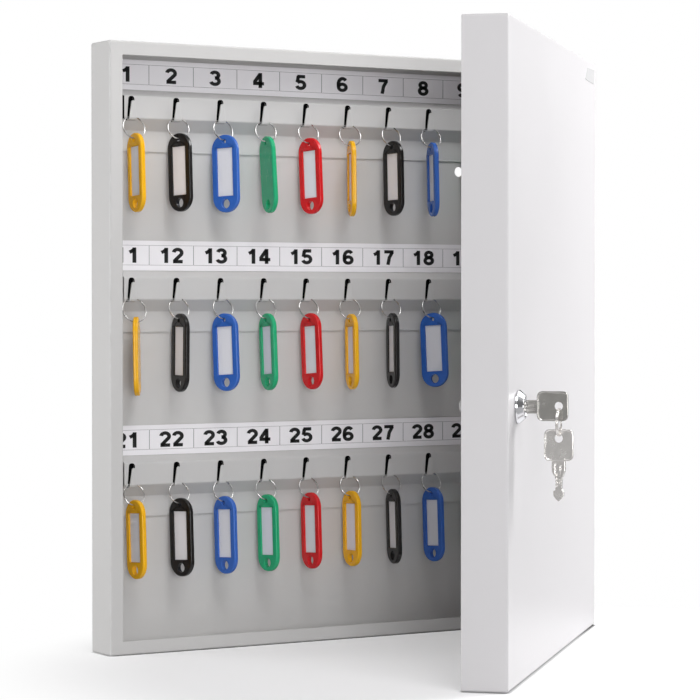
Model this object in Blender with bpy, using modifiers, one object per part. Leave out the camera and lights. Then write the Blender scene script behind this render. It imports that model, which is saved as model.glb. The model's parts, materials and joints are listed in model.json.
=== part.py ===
# Wall cabinet for thirty keys: a shallow bent steel tray with three punched hook rails,
# numbered cards, thirty hanging tags, and a pan door on outside barrel hinges with a cam lock.
#
# Frame: metres, +Z up, the front looks along -Y, the origin is the centre of the tray's base.
# The door is stored open, as the cabinet is usually shown.

import math

import bmesh
import bpy
from mathutils import Matrix, Vector

# Cabinet body
cabinet_width = 0.360
cabinet_height = 0.410
tray_depth = 0.030
sheet_thickness = 0.001
front_lip_width = 0.0094
rear_corner_radius = 0.003
folded_edge_radius = 0.001
touching_gap = 0.0003
mounting_hole_diameter = 0.0073
mounting_hole_side_inset = 0.0624
mounting_hole_drop = 0.079

# Door pan
door_depth = 0.029
door_seam = 0.001
door_edge_clearance = 0.0005
door_lip_width = 0.008
door_edge_radius = 0.0012
door_open_angle = math.radians(45.1)

# Barrel hinges
hinge_axis_offset = 0.004
hinge_end_inset = 0.080
hinge_length = 0.050
hinge_leaf_width = 0.020
hinge_leaf_thickness = 0.0012
hinge_knuckle_radius = 0.0032
hinge_bore_radius = 0.0018
hinge_pin_radius = 0.0015
hinge_pin_head_radius = 0.0026
hinge_pin_head_height = 0.0010
hinge_leaf_setback = 0.0039
middle_knuckle_share = 0.348
knuckle_gap = 0.0003
rivet_radius = 0.0024
rivet_height = 0.0009
rivet_top_share = 0.7
pin_head_top_share = 0.7
rivet_spread_share = 0.30

# Hook rails: one bent sheet for each row, measured from the top of its slots
row_slot_top_shares = (0.9134, 0.6146, 0.3083)
row_names = ("top", "middle", "bottom")
column_count = 10
row_end_margin = 0.009
rail_thickness = 0.0008
rail_end_clearance = 0.007
rail_bend_margin = 0.0028
rail_bend_radius = 0.0015
rail_projection = 0.0090
strip_top_rise = 0.0261
strip_bottom_rise = 0.0052
shelf_front_rise = 0.0008
panel_bottom_drop = 0.0142
return_bottom_drop = 0.0223
seam_drop = 0.0363
slot_top_width = 0.0035
slot_bottom_width = 0.0056
slot_bottom_drop = 0.0146
tongue_root_width = 0.0055
tongue_tip_width = 0.0027
tongue_tip_drop = 0.0024
tongue_root_drop = 0.0153
tongue_offset = 0.0023
tongue_lean = 0.0005
tongue_bend_radius = 0.0010
tongue_root_depth = 0.0016

# Numbered cards
card_thickness = 0.0003
card_end_margin = 0.001
card_margin = 0.0003

# Tags and their rings
ring_outer_diameter = 0.0150
ring_wire_diameter = 0.0011
ring_top_drop = 0.0128
ring_stand_off = 0.0010
tag_length = 0.0535
tag_width = 0.0205
tag_thickness = 0.0035
tag_ring_hole_diameter = 0.0035
tag_ring_hole_inset = 0.0048
tag_key_hole_diameter = 0.0064
tag_key_hole_inset = 0.0060
tag_window_width = 0.0130
tag_window_length = 0.0333
tag_window_inset = 0.0090
tag_window_depth = 0.0010
tag_ring_bite = 0.00015
tag_lean = math.radians(5.0)
tag_colour_names = ("yellow", "black", "blue", "green", "red")

# How far each tag has turned on its ring, in degrees from facing the front, left to right
tag_turns = {
    "top": (90, 78, 57, -88, 73, 107, 76, 101, 84, 70),
    "middle": (112, 90, 63, 90, 82, 101, 100, 57, 95, 78),
    "bottom": (87, 72, 75, 79, 82, 88, 97, 80, 74, 92),
}

# Cam lock
lock_from_free_edge = 0.032
lock_height = 0.172
bezel_diameter = 0.0207
bezel_height = 0.0050
bezel_rim_height = 0.0012
bezel_face_diameter = 0.0150
barrel_diameter = 0.0180
barrel_hole_diameter = 0.0190
barrel_end_gap = 0.0010
plug_diameter = 0.0114
plug_bore_diameter = 0.0120
plug_recess = 0.0004
plug_stub_diameter = 0.0070
cam_length = 0.029
cam_width = 0.016
cam_thickness = 0.0018
cam_behind_lip = 0.0010
cam_hole_diameter = 0.0076
cam_screw_head_diameter = 0.0085
cam_screw_head_height = 0.0018
cam_screw_shank_diameter = 0.0032
cam_screw_bore_diameter = 0.0038
cam_screw_depth = 0.0080
cam_screw_top_share = 0.75
nut_across_corners = 0.0250
nut_thickness = 0.0035
nut_bore_diameter = 0.0186
keyway_width = 0.0028
keyway_height = 0.0070
keyway_depth = 0.0225

# Keys
key_thickness = 0.0021
key_blade_thickness_share = 0.92
key_bow_length = 0.0176
key_bow_height = 0.0183
key_bow_corner_radius = 0.0034
key_bow_start = 0.0120
key_bow_rise = 0.0005
key_hole_diameter = 0.0051
key_hole_from_start = 0.0135
key_shoulder_height = 0.0084
key_blade_height = 0.0062
key_blade_length = 0.0210
key_cut_depth = 0.0013
key_cut_count = 4
spare_bow_width = 0.0181
spare_bow_height = 0.0186
spare_hole_from_top = 0.0056
spare_length = 0.0440
spare_shoulder_width = 0.0086
spare_shoulder_end = 0.0260
spare_neck_width = 0.0046
spare_neck_end = 0.0365
spare_tip_width = 0.0068
ring_between_keys_diameter = 0.0190
ring_between_keys_wire = 0.0014

# Finish colours as linear light
steel_grey = (0.60, 0.60, 0.59)
card_white = (0.88, 0.88, 0.88)
bright_chrome = (0.72, 0.72, 0.73)
nickel_silver = (0.48, 0.46, 0.43)
zinc_grey = (0.52, 0.52, 0.53)
tag_colours = {
    "yellow": (0.95, 0.46, 0.01),
    "black": (0.021, 0.018, 0.017),
    "blue": (0.026, 0.110, 0.490),
    "green": (0.024, 0.350, 0.145),
    "red": (0.580, 0.013, 0.021),
}

# Facets of round forms
knuckle_sides = 14
bore_sides = 12
hole_sides = 16
bezel_sides = 24
tag_end_sides = 7
tag_hole_sides = 8
tag_ring_sides = 12
tag_wire_sides = 4
key_ring_sides = 24
key_ring_wire_sides = 5
slot_top_sides = 4
tongue_tip_sides = 4
bend_steps = 2
rear_fold_steps = 3
door_fold_steps = 2
rivet_sides = 10
cam_end_sides = 8
bow_corner_sides = 3
nut_sides = 6
half = 0.5


# Start with an empty scene

for old_object in list(bpy.data.objects):
    bpy.data.objects.remove(old_object, do_unlink=True)

parts = bpy.data.collections.new("key_cabinet")
cutters = bpy.data.collections.new("cutters")
bpy.context.scene.collection.children.link(parts)
bpy.context.scene.collection.children.link(cutters)


# Positions that follow from the sizes

lip_front = -tray_depth * half
wall_back = tray_depth * half
wall_face = wall_back - sheet_thickness
rim_plane = lip_front - door_seam
door_face = rim_plane - door_depth
hinge_axis = Vector((cabinet_width * half + hinge_axis_offset, rim_plane, 0))
flange_face = wall_face - touching_gap - rail_thickness
column_pitch = (cabinet_width - 2 * row_end_margin) / column_count
rail_flange_length = cabinet_width - 2 * rail_end_clearance
rail_bend_length = column_pitch * (column_count - 1) + slot_bottom_width + 2 * rail_bend_margin
card_length = rail_flange_length - 2 * card_end_margin
row_slot_tops = [cabinet_height * share for share in row_slot_top_shares]
hinge_heights = (hinge_end_inset, cabinet_height - hinge_end_inset)
mounting_hole_x = cabinet_width * half - mounting_hole_side_inset
mounting_hole_height = cabinet_height - mounting_hole_drop
merge_distance = touching_gap * half ** 4
panel_face = wall_face - rail_projection
ring_wire_radius = ring_wire_diameter * half
ring_radius = ring_outer_diameter * half - ring_wire_radius
lock_centre = Vector((-cabinet_width * half + lock_from_free_edge, door_face, lock_height))


# Helpers

def material(name, colour, roughness, metallic):
    finish = bpy.data.materials.new(name)
    finish.use_nodes = True
    shader = finish.node_tree.nodes["Principled BSDF"]
    shader.inputs["Base Color"].default_value = (*colour, 1)
    shader.inputs["Roughness"].default_value = roughness
    shader.inputs["Metallic"].default_value = metallic
    finish.diffuse_color = (*colour, 1)
    return finish


def add_part(name, mesh, finish, location=(0, 0, 0), parent=None, smooth_angle=30):
    part = bpy.data.objects.new(name, mesh)
    parts.objects.link(part)
    part.location = location
    part.parent = parent
    mesh.materials.clear()
    mesh.materials.append(finish)
    mesh.shade_smooth()
    mesh.set_sharp_from_angle(angle=math.radians(smooth_angle))
    return part


def add_cutter(name, mesh, parent=None, location=(0, 0, 0)):
    cutter = bpy.data.objects.new(name, mesh)
    cutters.objects.link(cutter)
    cutter.location = location
    cutter.parent = parent
    cutter.hide_render = True
    cutter.display_type = "WIRE"
    return cutter


def boolean(part, operand, operation):
    step = part.modifiers.new(operation.lower() + "_" + operand.name, "BOOLEAN")
    step.object = operand
    step.operation = operation
    step.solver = "EXACT"
    return step


def baked(target):
    bpy.context.view_layer.update()
    graph = bpy.context.evaluated_depsgraph_get()
    return bpy.data.meshes.new_from_object(target.evaluated_get(graph))


def combined_mesh(base, operands):
    # Apply a list of (mesh, operation) pairs to one mesh and return the result.
    work = bpy.data.objects.new("work", base)
    cutters.objects.link(work)
    helpers = []
    for mesh, operation in operands:
        helper = bpy.data.objects.new("helper", mesh)
        cutters.objects.link(helper)
        helpers.append(helper)
        boolean(work, helper, operation)
    result = baked(work)
    for helper in helpers + [work]:
        bpy.data.objects.remove(helper, do_unlink=True)
    return result


def mesh_from_bmesh(name, form):
    bmesh.ops.recalc_face_normals(form, faces=form.faces)
    mesh = bpy.data.meshes.new(name)
    form.to_mesh(mesh)
    form.free()
    return mesh


def box(name, low, high):
    low = Vector(low)
    high = Vector(high)
    form = bmesh.new()
    bmesh.ops.create_cube(form, size=1)
    size = high - low
    centre = (high + low) * half
    bmesh.ops.scale(form, vec=size, verts=form.verts)
    bmesh.ops.translate(form, vec=centre, verts=form.verts)
    return mesh_from_bmesh(name, form)


def rod(name, radius, low, high, sides, axis="Z", centre=(0, 0), end_radius=None):
    # A cylinder or a cone frustum along one axis, from low to high.
    form = bmesh.new()
    bmesh.ops.create_cone(
        form,
        cap_ends=True,
        segments=sides,
        radius1=radius,
        radius2=radius if end_radius is None else end_radius,
        depth=high - low,
    )
    bmesh.ops.translate(form, vec=(0, 0, (low + high) * half), verts=form.verts)
    if axis == "Z":
        place = Matrix.Translation((centre[0], centre[1], 0))
    if axis == "Y":
        place = Matrix.Translation((centre[0], 0, centre[1])) @ Matrix.Rotation(-math.pi * half, 4, "X")
    if axis == "X":
        place = Matrix.Translation((0, centre[0], centre[1])) @ Matrix.Rotation(math.pi * half, 4, "Y")
    bmesh.ops.transform(form, matrix=place, verts=form.verts)
    return mesh_from_bmesh(name, form)


# A flat outline is drawn in a curve's own plane and then faces the front, the side or the top.
outline_facings = {
    "front": Matrix(((1, 0, 0, 0), (0, 0, -1, 0), (0, 1, 0, 0), (0, 0, 0, 1))),
    "side": Matrix(((0, 0, 1, 0), (1, 0, 0, 0), (0, 1, 0, 0), (0, 0, 0, 1))),
    "top": Matrix.Identity(4),
}


def prism(name, outlines, thickness, facing, shift=(0, 0, 0)):
    # Extrude closed outlines; an outline inside another one is a hole.
    curve = bpy.data.curves.new(name, "CURVE")
    curve.dimensions = "2D"
    curve.fill_mode = "BOTH"
    curve.extrude = thickness * half
    for outline in outlines:
        spline = curve.splines.new("POLY")
        spline.points.add(len(outline) - 1)
        for point, (u, v) in zip(spline.points, outline):
            point.co = (u, v, 0, 1)
        spline.use_cyclic_u = True
    drawn = bpy.data.objects.new(name, curve)
    cutters.objects.link(drawn)
    drawn.matrix_world = Matrix.Translation(shift) @ outline_facings[facing]
    mesh = baked(drawn)
    mesh.transform(drawn.matrix_world)
    bpy.data.objects.remove(drawn, do_unlink=True)
    form = bmesh.new()
    form.from_mesh(mesh)
    bmesh.ops.remove_doubles(form, verts=form.verts, dist=merge_distance)
    bpy.data.meshes.remove(mesh)
    return mesh_from_bmesh(name, form)


def turned(name, profile, sides):
    # Turn a closed loop of (radius, height) points about Z with a Screw modifier.
    mesh = bpy.data.meshes.new(name)
    points = [(radius, 0, height) for radius, height in profile]
    edges = [(i, (i + 1) % len(points)) for i in range(len(points))]
    if profile[0][0] == 0:
        edges = edges[:-1]
    mesh.from_pydata(points, edges, [])
    work = bpy.data.objects.new(name, mesh)
    cutters.objects.link(work)
    screw = work.modifiers.new("turn", "SCREW")
    screw.steps = sides
    screw.render_steps = sides
    screw.use_merge_vertices = True
    screw.merge_threshold = merge_distance
    result = baked(work)
    bpy.data.objects.remove(work, do_unlink=True)
    form = bmesh.new()
    form.from_mesh(result)
    bmesh.ops.remove_doubles(form, verts=form.verts, dist=merge_distance)
    return mesh_from_bmesh(name, form)


def torus(name, ring_size, wire_size, ring_sides, wire_sides):
    # A ring about Z: a small circle carried round a large one by a Screw modifier.
    profile = []
    for i in range(wire_sides):
        turn = -2 * math.pi * i / wire_sides
        profile.append((ring_size + wire_size * math.cos(turn), wire_size * math.sin(turn)))
    return turned(name, profile, ring_sides)


def joined_copies(name, mesh, places):
    # One mesh that holds a copy of another at each place; the copies don't meet.
    form = bmesh.new()
    for place in places:
        copy = mesh.copy()
        copy.transform(place)
        form.from_mesh(copy)
        bpy.data.meshes.remove(copy)
    return mesh_from_bmesh(name, form)


def arc(centre, radius, start, end, steps):
    points = []
    for i in range(steps + 1):
        turn = math.radians(start + (end - start) * i / steps)
        points.append((centre[0] + radius * math.cos(turn), centre[1] + radius * math.sin(turn)))
    return points


def circle(centre, radius, sides):
    return arc(centre, radius, 0, 360, sides)[:-1]


def stadium(width, low, high, sides):
    # A strip with a half circle at each end, between two heights.
    radius = width * half
    top = arc((0, high - radius), radius, 0, 180, sides)
    bottom = arc((0, low + radius), radius, 180, 360, sides)
    return top + bottom


def rounded_rectangle(low, high, radius, steps):
    corners = (
        ((high[0] - radius, low[1] + radius), -90),
        ((high[0] - radius, high[1] - radius), 0),
        ((low[0] + radius, high[1] - radius), 90),
        ((low[0] + radius, low[1] + radius), 180),
    )
    points = []
    for centre, start in corners:
        points += arc(centre, radius, start, start + 90, steps)
    return points


def eased_path(path, radius, steps):
    # Replace each inner corner of an open path by a short arc of the bend radius.
    path = [Vector(point) for point in path]
    points = [path[0]]
    for before, corner, after in zip(path, path[1:], path[2:]):
        arriving = (corner - before).normalized()
        leaving = (after - corner).normalized()
        turn = arriving.angle(leaving)
        reach = radius * math.tan(turn * half)
        start = corner - arriving * reach
        end = corner + leaving * reach
        inward = (leaving - arriving).normalized()
        centre = corner + inward * (radius / math.cos(turn * half))
        for i in range(steps + 1):
            share = i / steps
            spoke = (start - centre).lerp(end - centre, share).normalized()
            points.append(centre + spoke * radius)
    points.append(path[-1])
    return points


def bent_sheet_outline(path, thickness):
    # Close an open path into the outline of a sheet that lies on the left of the path.
    offsets = []
    for i, point in enumerate(path):
        sides = []
        if i > 0:
            sides.append((point - path[i - 1]).normalized())
        if i < len(path) - 1:
            sides.append((path[i + 1] - point).normalized())
        normals = [Vector((-side.y, side.x)) for side in sides]
        middle = sum(normals, Vector((0, 0))).normalized()
        offsets.append(point + middle * (thickness / middle.dot(normals[0])))
    return [tuple(point) for point in path] + [tuple(point) for point in reversed(offsets)]


def weighted_box(name, low, high, weigh):
    # A box whose edges carry bevel weights given by a rule on the edge's two ends.
    mesh = box(name, low, high)
    weights = mesh.attributes.new("bevel_weight_edge", "FLOAT", "EDGE")
    for edge in mesh.edges:
        first = mesh.vertices[edge.vertices[0]].co
        second = mesh.vertices[edge.vertices[1]].co
        weights.data[edge.index].value = weigh(first, second)
    return mesh


def bevel_by_weight(target, width, segments):
    step = target.modifiers.new("folds", "BEVEL")
    step.limit_method = "WEIGHT"
    step.width = width
    step.segments = segments
    return step


# Tray: outside box, hollowed, opened at the front inside a lip, with two mounting holes

def make_body_shell(finish):
    side = cabinet_width * half

    def outside_folds(first, second):
        behind = first.y > 0 and second.y > 0
        along_depth = first.y * second.y < 0
        in_front = first.y < 0 and second.y < 0
        if behind:
            return 1
        if along_depth or in_front:
            return folded_edge_radius / rear_corner_radius
        return 0

    shell = add_part(
        "body_shell",
        weighted_box("body_shell", (-side, lip_front, 0), (side, wall_back, cabinet_height), outside_folds),
        finish,
    )
    bevel_by_weight(shell, rear_corner_radius, rear_fold_steps)

    def inside_folds(first, second):
        return 1 if first.y > 0 and second.y > 0 else 0

    hollow = add_cutter(
        "tray_hollow",
        weighted_box(
            "tray_hollow",
            (-side + sheet_thickness, lip_front + sheet_thickness, sheet_thickness),
            (side - sheet_thickness, wall_face, cabinet_height - sheet_thickness),
            inside_folds,
        ),
    )
    bevel_by_weight(hollow, rear_corner_radius - sheet_thickness, rear_fold_steps)
    opening = add_cutter(
        "tray_opening",
        box(
            "tray_opening",
            (-side + front_lip_width, lip_front - sheet_thickness, front_lip_width),
            (side - front_lip_width, lip_front + 2 * sheet_thickness, cabinet_height - front_lip_width),
        ),
    )
    hole = rod(
        "mounting_hole",
        mounting_hole_diameter * half,
        wall_face - sheet_thickness,
        wall_back + sheet_thickness,
        hole_sides,
        "Y",
    )
    places = []
    for direction in (-1, 1):
        places.append(Matrix.Translation((direction * mounting_hole_x, 0, mounting_hole_height)))
    holes = add_cutter("mounting_holes", joined_copies("mounting_holes", hole, places))
    boolean(shell, hollow, "DIFFERENCE")
    boolean(shell, opening, "DIFFERENCE")
    boolean(shell, holes, "DIFFERENCE")
    return shell


# Hook rail: a bent sheet on the back wall with punched tongues that stand in front of their slots

def rail_mesh():
    path = eased_path(
        [
            (flange_face, strip_top_rise),
            (flange_face, strip_bottom_rise),
            (panel_face, shelf_front_rise),
            (panel_face, -panel_bottom_drop),
            (flange_face, -return_bottom_drop),
            (flange_face, -seam_drop),
        ],
        rail_bend_radius,
        bend_steps,
    )
    sheet = prism("rail_sheet", [bent_sheet_outline(path, rail_thickness)], rail_flange_length, "side")
    end_length = (rail_flange_length - rail_bend_length) * half
    trims = []
    for direction in (-1, 1):
        middle = direction * (rail_bend_length * half + end_length)
        trims.append(Matrix.Translation((middle, 0, 0)))
    trim = box(
        "rail_end",
        (-end_length, panel_face - rail_projection, -seam_drop - rail_projection),
        (end_length, wall_back, strip_bottom_rise),
    )
    slot_places = []
    for column in range(column_count):
        slot_places.append(Matrix.Translation((column_x(column), 0, 0)))
    return combined_mesh(
        sheet,
        [
            (joined_copies("rail_ends", trim, trims), "DIFFERENCE"),
            (joined_copies("slots", slot_mesh(), slot_places), "DIFFERENCE"),
            (joined_copies("tongues", tongue_mesh(), slot_places), "UNION"),
        ],
    )


def column_x(column):
    return (column - (column_count - 1) * half) * column_pitch


def slot_mesh():
    top_radius = slot_top_width * half
    outline = arc((0, -top_radius), top_radius, 0, 180, slot_top_sides)
    outline.append((-slot_bottom_width * half, -slot_bottom_drop))
    outline.append((slot_bottom_width * half, -slot_bottom_drop))
    depth = rail_projection
    middle = panel_face + rail_thickness * half
    return prism("slot", [outline], depth, "front", (0, middle, 0))


def tongue_mesh():
    # The strip's side view, cut to its front view: wide at the root, narrow and round at the tip.
    upright = panel_face - tongue_offset + rail_thickness * half
    side_path = eased_path(
        [
            (panel_face + tongue_root_depth, -tongue_root_drop - rail_thickness * half),
            (upright - rail_thickness, -tongue_root_drop - rail_thickness * half),
            (upright - rail_thickness - tongue_lean, 0),
        ],
        tongue_bend_radius + rail_thickness,
        bend_steps,
    )
    side_path.reverse()
    strip = prism(
        "tongue_strip",
        [bent_sheet_outline(side_path, rail_thickness)],
        tongue_root_width + rail_projection,
        "side",
    )
    tip_radius = tongue_tip_width * half
    front = arc((0, -tongue_tip_drop - tip_radius), tip_radius, 0, 180, tongue_tip_sides)
    front.append((-tongue_root_width * half, -tongue_root_drop + rail_thickness))
    front.append((-tongue_root_width * half, -tongue_root_drop - 2 * rail_thickness))
    front.append((tongue_root_width * half, -tongue_root_drop - 2 * rail_thickness))
    front.append((tongue_root_width * half, -tongue_root_drop + rail_thickness))
    face = prism("tongue_face", [front], 2 * rail_projection, "front", (0, panel_face, 0))
    return combined_mesh(strip, [(face, "INTERSECT")])


def make_rails(finish):
    mesh = rail_mesh()
    for name, slot_top in zip(row_names, row_slot_tops):
        add_part("hook_rail_" + name, mesh, finish, (0, 0, slot_top), smooth_angle=25)


# Numbered cards on the rails' upper flanges

def make_cards(finish):
    side = card_length * half
    front = flange_face - touching_gap - card_thickness
    mesh = box(
        "card",
        (-side, front, strip_bottom_rise + card_margin),
        (side, front + card_thickness, strip_top_rise - card_margin),
    )
    for name, slot_top in zip(row_names, row_slot_tops):
        add_part("label_card_" + name, mesh, finish, (0, 0, slot_top))


# Tags: a plate with a window and two holes, fused with the ring that hangs in the hook

def tag_plate_mesh():
    # The plate hangs below the ring; its front looks along -Y and its height is counted down.
    hole_height = -2 * ring_radius - (tag_ring_hole_diameter * half - ring_wire_radius + tag_ring_bite)
    high = hole_height + tag_ring_hole_inset
    low = high - tag_length
    plate = prism(
        "tag_plate",
        [stadium(tag_width, low, high, tag_end_sides)],
        tag_thickness,
        "front",
    )
    hole = rod(
        "ring_hole",
        tag_ring_hole_diameter * half,
        -tag_thickness,
        tag_thickness,
        tag_hole_sides,
        "Y",
        (0, hole_height),
    )
    key_hole = rod(
        "key_hole",
        tag_key_hole_diameter * half,
        -tag_thickness,
        tag_thickness,
        tag_hole_sides,
        "Y",
        (0, low + tag_key_hole_inset),
    )
    side = tag_window_width * half
    window = box(
        "window",
        (-side, -tag_thickness, high - tag_window_inset - tag_window_length),
        (side, -tag_thickness * half + tag_window_depth, high - tag_window_inset),
    )
    return combined_mesh(
        plate,
        [(hole, "DIFFERENCE"), (key_hole, "DIFFERENCE"), (window, "DIFFERENCE")],
    )


def make_tags(finishes):
    plate = tag_plate_mesh()
    ring = torus("tag_ring", ring_radius, ring_wire_radius, tag_ring_sides, tag_wire_sides)
    ring.transform(Matrix.Translation((0, 0, -ring_radius)) @ Matrix.Rotation(math.pi * half, 4, "X"))
    hang_y = panel_face - ring_stand_off
    number = 0
    for name, slot_top in zip(row_names, row_slot_tops):
        for column in range(column_count):
            number += 1
            turned_plate = plate.copy()
            turned_plate.transform(Matrix.Rotation(-math.radians(tag_turns[name][column]), 4, "Z"))
            mesh = combined_mesh(turned_plate, [(ring, "UNION")])
            colour = tag_colour_names[column % len(tag_colour_names)]
            tag = add_part(
                "tag_" + str(number).zfill(2),
                mesh,
                finishes[colour],
                (column_x(column), hang_y, slot_top - ring_top_drop - ring_wire_radius),
            )
            tag.rotation_euler.x = -tag_lean


# Hinges: each leaf is drawn about its own pin axis, at the hinge's middle height

def leaf_mesh(name, direction):
    # direction 1 is the tray's leaf with the two end knuckles, -1 the door's with the middle one.
    inner = -hinge_axis_offset + touching_gap
    outer = inner + hinge_leaf_thickness
    long_half = hinge_length * half
    middle_half = long_half * middle_knuckle_share
    near = direction * hinge_leaf_setback
    far = direction * (hinge_leaf_setback + hinge_leaf_width)
    plate = box(
        name,
        (inner, min(near, far), -long_half),
        (outer, max(near, far), long_half),
    )
    if direction > 0:
        spans = ((-long_half, -middle_half - knuckle_gap * half), (middle_half + knuckle_gap * half, long_half))
    else:
        spans = ((-middle_half + knuckle_gap * half, middle_half - knuckle_gap * half),)
    steps = []
    for low, high in spans:
        reach = direction * (hinge_leaf_setback + hinge_leaf_thickness)
        tab = box(name + "_tab", (inner, min(0, reach), low), (outer, max(0, reach), high))
        steps.append((tab, "UNION"))
        steps.append((rod(name + "_knuckle", hinge_knuckle_radius, low, high, knuckle_sides), "UNION"))
    for share in (-rivet_spread_share, rivet_spread_share):
        head = rod(
            name + "_rivet",
            rivet_radius,
            outer - touching_gap,
            outer + rivet_height,
            rivet_sides,
            "X",
            ((near + far) * half, hinge_length * share),
            rivet_radius * rivet_top_share,
        )
        steps.append((head, "UNION"))
    steps.append((rod(name + "_bore", hinge_bore_radius, -hinge_length, hinge_length, bore_sides), "DIFFERENCE"))
    return combined_mesh(plate, steps)


def make_hinges(finish, door_axis):
    body_leaf = leaf_mesh("hinge_leaf_body", 1)
    door_leaf = leaf_mesh("hinge_leaf_door", -1)
    pin_half = hinge_length * half + touching_gap
    pin = turned(
        "hinge_pin",
        [
            (0, pin_half + hinge_pin_head_height),
            (hinge_pin_head_radius * pin_head_top_share, pin_half + hinge_pin_head_height),
            (hinge_pin_head_radius, pin_half + hinge_pin_head_height * half),
            (hinge_pin_head_radius, pin_half),
            (hinge_pin_radius, pin_half),
            (hinge_pin_radius, -pin_half),
            (hinge_pin_head_radius, -pin_half),
            (hinge_pin_head_radius, -pin_half - hinge_pin_head_height * half),
            (hinge_pin_head_radius * pin_head_top_share, -pin_half - hinge_pin_head_height),
            (0, -pin_half - hinge_pin_head_height),
        ],
        bore_sides,
    )
    for name, height in zip(("lower", "upper"), hinge_heights):
        place = hinge_axis + Vector((0, 0, height))
        add_part("hinge_leaf_body_" + name, body_leaf, finish, place)
        add_part("hinge_pin_" + name, pin, finish, place)
        add_part("hinge_leaf_door_" + name, door_leaf, finish, (0, 0, height), door_axis)


# Door: a pan with a narrow return lip, bored for the lock

def make_door_shell(finish, door_axis):
    side = cabinet_width * half
    low = Vector((-side, door_face, door_edge_clearance)) - hinge_axis
    high = Vector((side, rim_plane, cabinet_height - door_edge_clearance)) - hinge_axis

    def outside_folds(first, second):
        in_front = first.y < -door_depth * half and second.y < -door_depth * half
        along_depth = (first.y + door_depth * half) * (second.y + door_depth * half) < 0
        if in_front:
            return 1
        if along_depth:
            return folded_edge_radius / door_edge_radius
        return 0

    door = add_part("door_shell", weighted_box("door_shell", low, high, outside_folds), finish, parent=door_axis)
    bevel_by_weight(door, door_edge_radius, door_fold_steps)
    skin = Vector((sheet_thickness, sheet_thickness, sheet_thickness))
    hollow = add_cutter("door_hollow", box("door_hollow", low + skin, high - skin), door_axis)
    mouth_low = Vector((low.x + door_lip_width, high.y - 2 * sheet_thickness, low.z + door_lip_width))
    mouth_high = Vector((high.x - door_lip_width, high.y + sheet_thickness, high.z - door_lip_width))
    mouth = add_cutter("door_mouth", box("door_mouth", mouth_low, mouth_high), door_axis)
    centre = lock_centre - hinge_axis
    bore = add_cutter(
        "lock_bore",
        rod(
            "lock_bore",
            barrel_hole_diameter * half,
            low.y - sheet_thickness,
            low.y + 2 * sheet_thickness,
            bezel_sides,
            "Y",
            (centre.x, centre.z),
        ),
        door_axis,
    )
    boolean(door, hollow, "DIFFERENCE")
    boolean(door, mouth, "DIFFERENCE")
    boolean(door, bore, "DIFFERENCE")
    return door


# Lock: everything is drawn about the lock's axis, with the door's outer face at zero

def cam_front():
    return lip_front + sheet_thickness + cam_behind_lip - door_face


def facing_front(mesh):
    # Turned pieces are drawn with their outer end up; lay them down so that it looks along -Y.
    mesh.transform(Matrix.Rotation(math.pi * half, 4, "X"))
    return mesh


def make_lock(finishes, door_axis, lock_axis):
    barrel_end = cam_front() - barrel_end_gap
    bore = plug_bore_diameter * half
    housing = turned(
        "lock_housing",
        [
            (bore, bezel_height),
            (bezel_face_diameter * half, bezel_height),
            (bezel_diameter * half, bezel_rim_height + touching_gap),
            (bezel_diameter * half, touching_gap),
            (barrel_diameter * half, touching_gap),
            (barrel_diameter * half, -barrel_end),
            (bore, -barrel_end),
        ],
        bezel_sides,
    )
    housing_place = lock_centre - hinge_axis
    add_part("lock_housing", facing_front(housing), finishes["chrome"], housing_place, door_axis)

    nut_near = sheet_thickness + touching_gap
    nut_body = rod("lock_nut", nut_across_corners * half, nut_near, nut_near + nut_thickness, nut_sides, "Y")
    nut_bore = rod("nut_bore", nut_bore_diameter * half, 0, nut_near + 2 * nut_thickness, bezel_sides, "Y")
    nut = combined_mesh(nut_body, [(nut_bore, "DIFFERENCE")])
    add_part("lock_nut", nut, finishes["zinc"], housing_place, door_axis)

    cam_back = cam_front() + cam_thickness
    plug_radius = plug_diameter * half
    plug = facing_front(
        turned(
            "lock_plug",
            [
                (0, bezel_height - plug_recess),
                (plug_radius, bezel_height - plug_recess),
                (plug_radius, -barrel_end),
                (plug_stub_diameter * half, -barrel_end),
                (plug_stub_diameter * half, -cam_back + touching_gap),
                (cam_screw_bore_diameter * half, -cam_back + touching_gap),
                (cam_screw_bore_diameter * half, -cam_back + cam_screw_depth + touching_gap),
                (0, -cam_back + cam_screw_depth + touching_gap),
            ],
            bezel_sides,
        )
    )
    front = -bezel_height + plug_recess
    keyway = box(
        "keyway",
        (-keyway_width * half, front - bezel_height, -keyway_height * half),
        (keyway_width * half, front + keyway_depth, keyway_height * half),
    )
    plug = combined_mesh(plug, [(keyway, "DIFFERENCE")])
    add_part("lock_plug", plug, finishes["chrome"], parent=lock_axis)

    # The cam points towards the hinge side when unlocked, as stored.
    radius = cam_width * half
    outline = arc((0, 0), radius, 90, 270, cam_end_sides)
    outline += arc((cam_length - radius, 0), radius, -90, 90, cam_end_sides)
    cam = prism(
        "lock_cam",
        [outline, circle((0, 0), cam_hole_diameter * half, bore_sides)],
        cam_thickness,
        "front",
        (0, cam_front() + cam_thickness * half, 0),
    )
    add_part("lock_cam", cam, finishes["zinc"], parent=lock_axis)

    head = cam_back + touching_gap
    screw = facing_front(
        turned(
            "cam_screw",
            [
                (0, -cam_back + cam_screw_depth),
                (cam_screw_shank_diameter * half, -cam_back + cam_screw_depth),
                (cam_screw_shank_diameter * half, -head),
                (cam_screw_head_diameter * half, -head),
                (cam_screw_head_diameter * half, -head - cam_screw_head_height * half),
                (cam_screw_head_diameter * half * cam_screw_top_share, -head - cam_screw_head_height),
                (0, -head - cam_screw_head_height),
            ],
            bore_sides,
        )
    )
    add_part("cam_screw", screw, finishes["zinc"], parent=lock_axis)


# Keys: flat blanks cut to an outline, one in the lock and a spare that hangs from its ring

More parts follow.
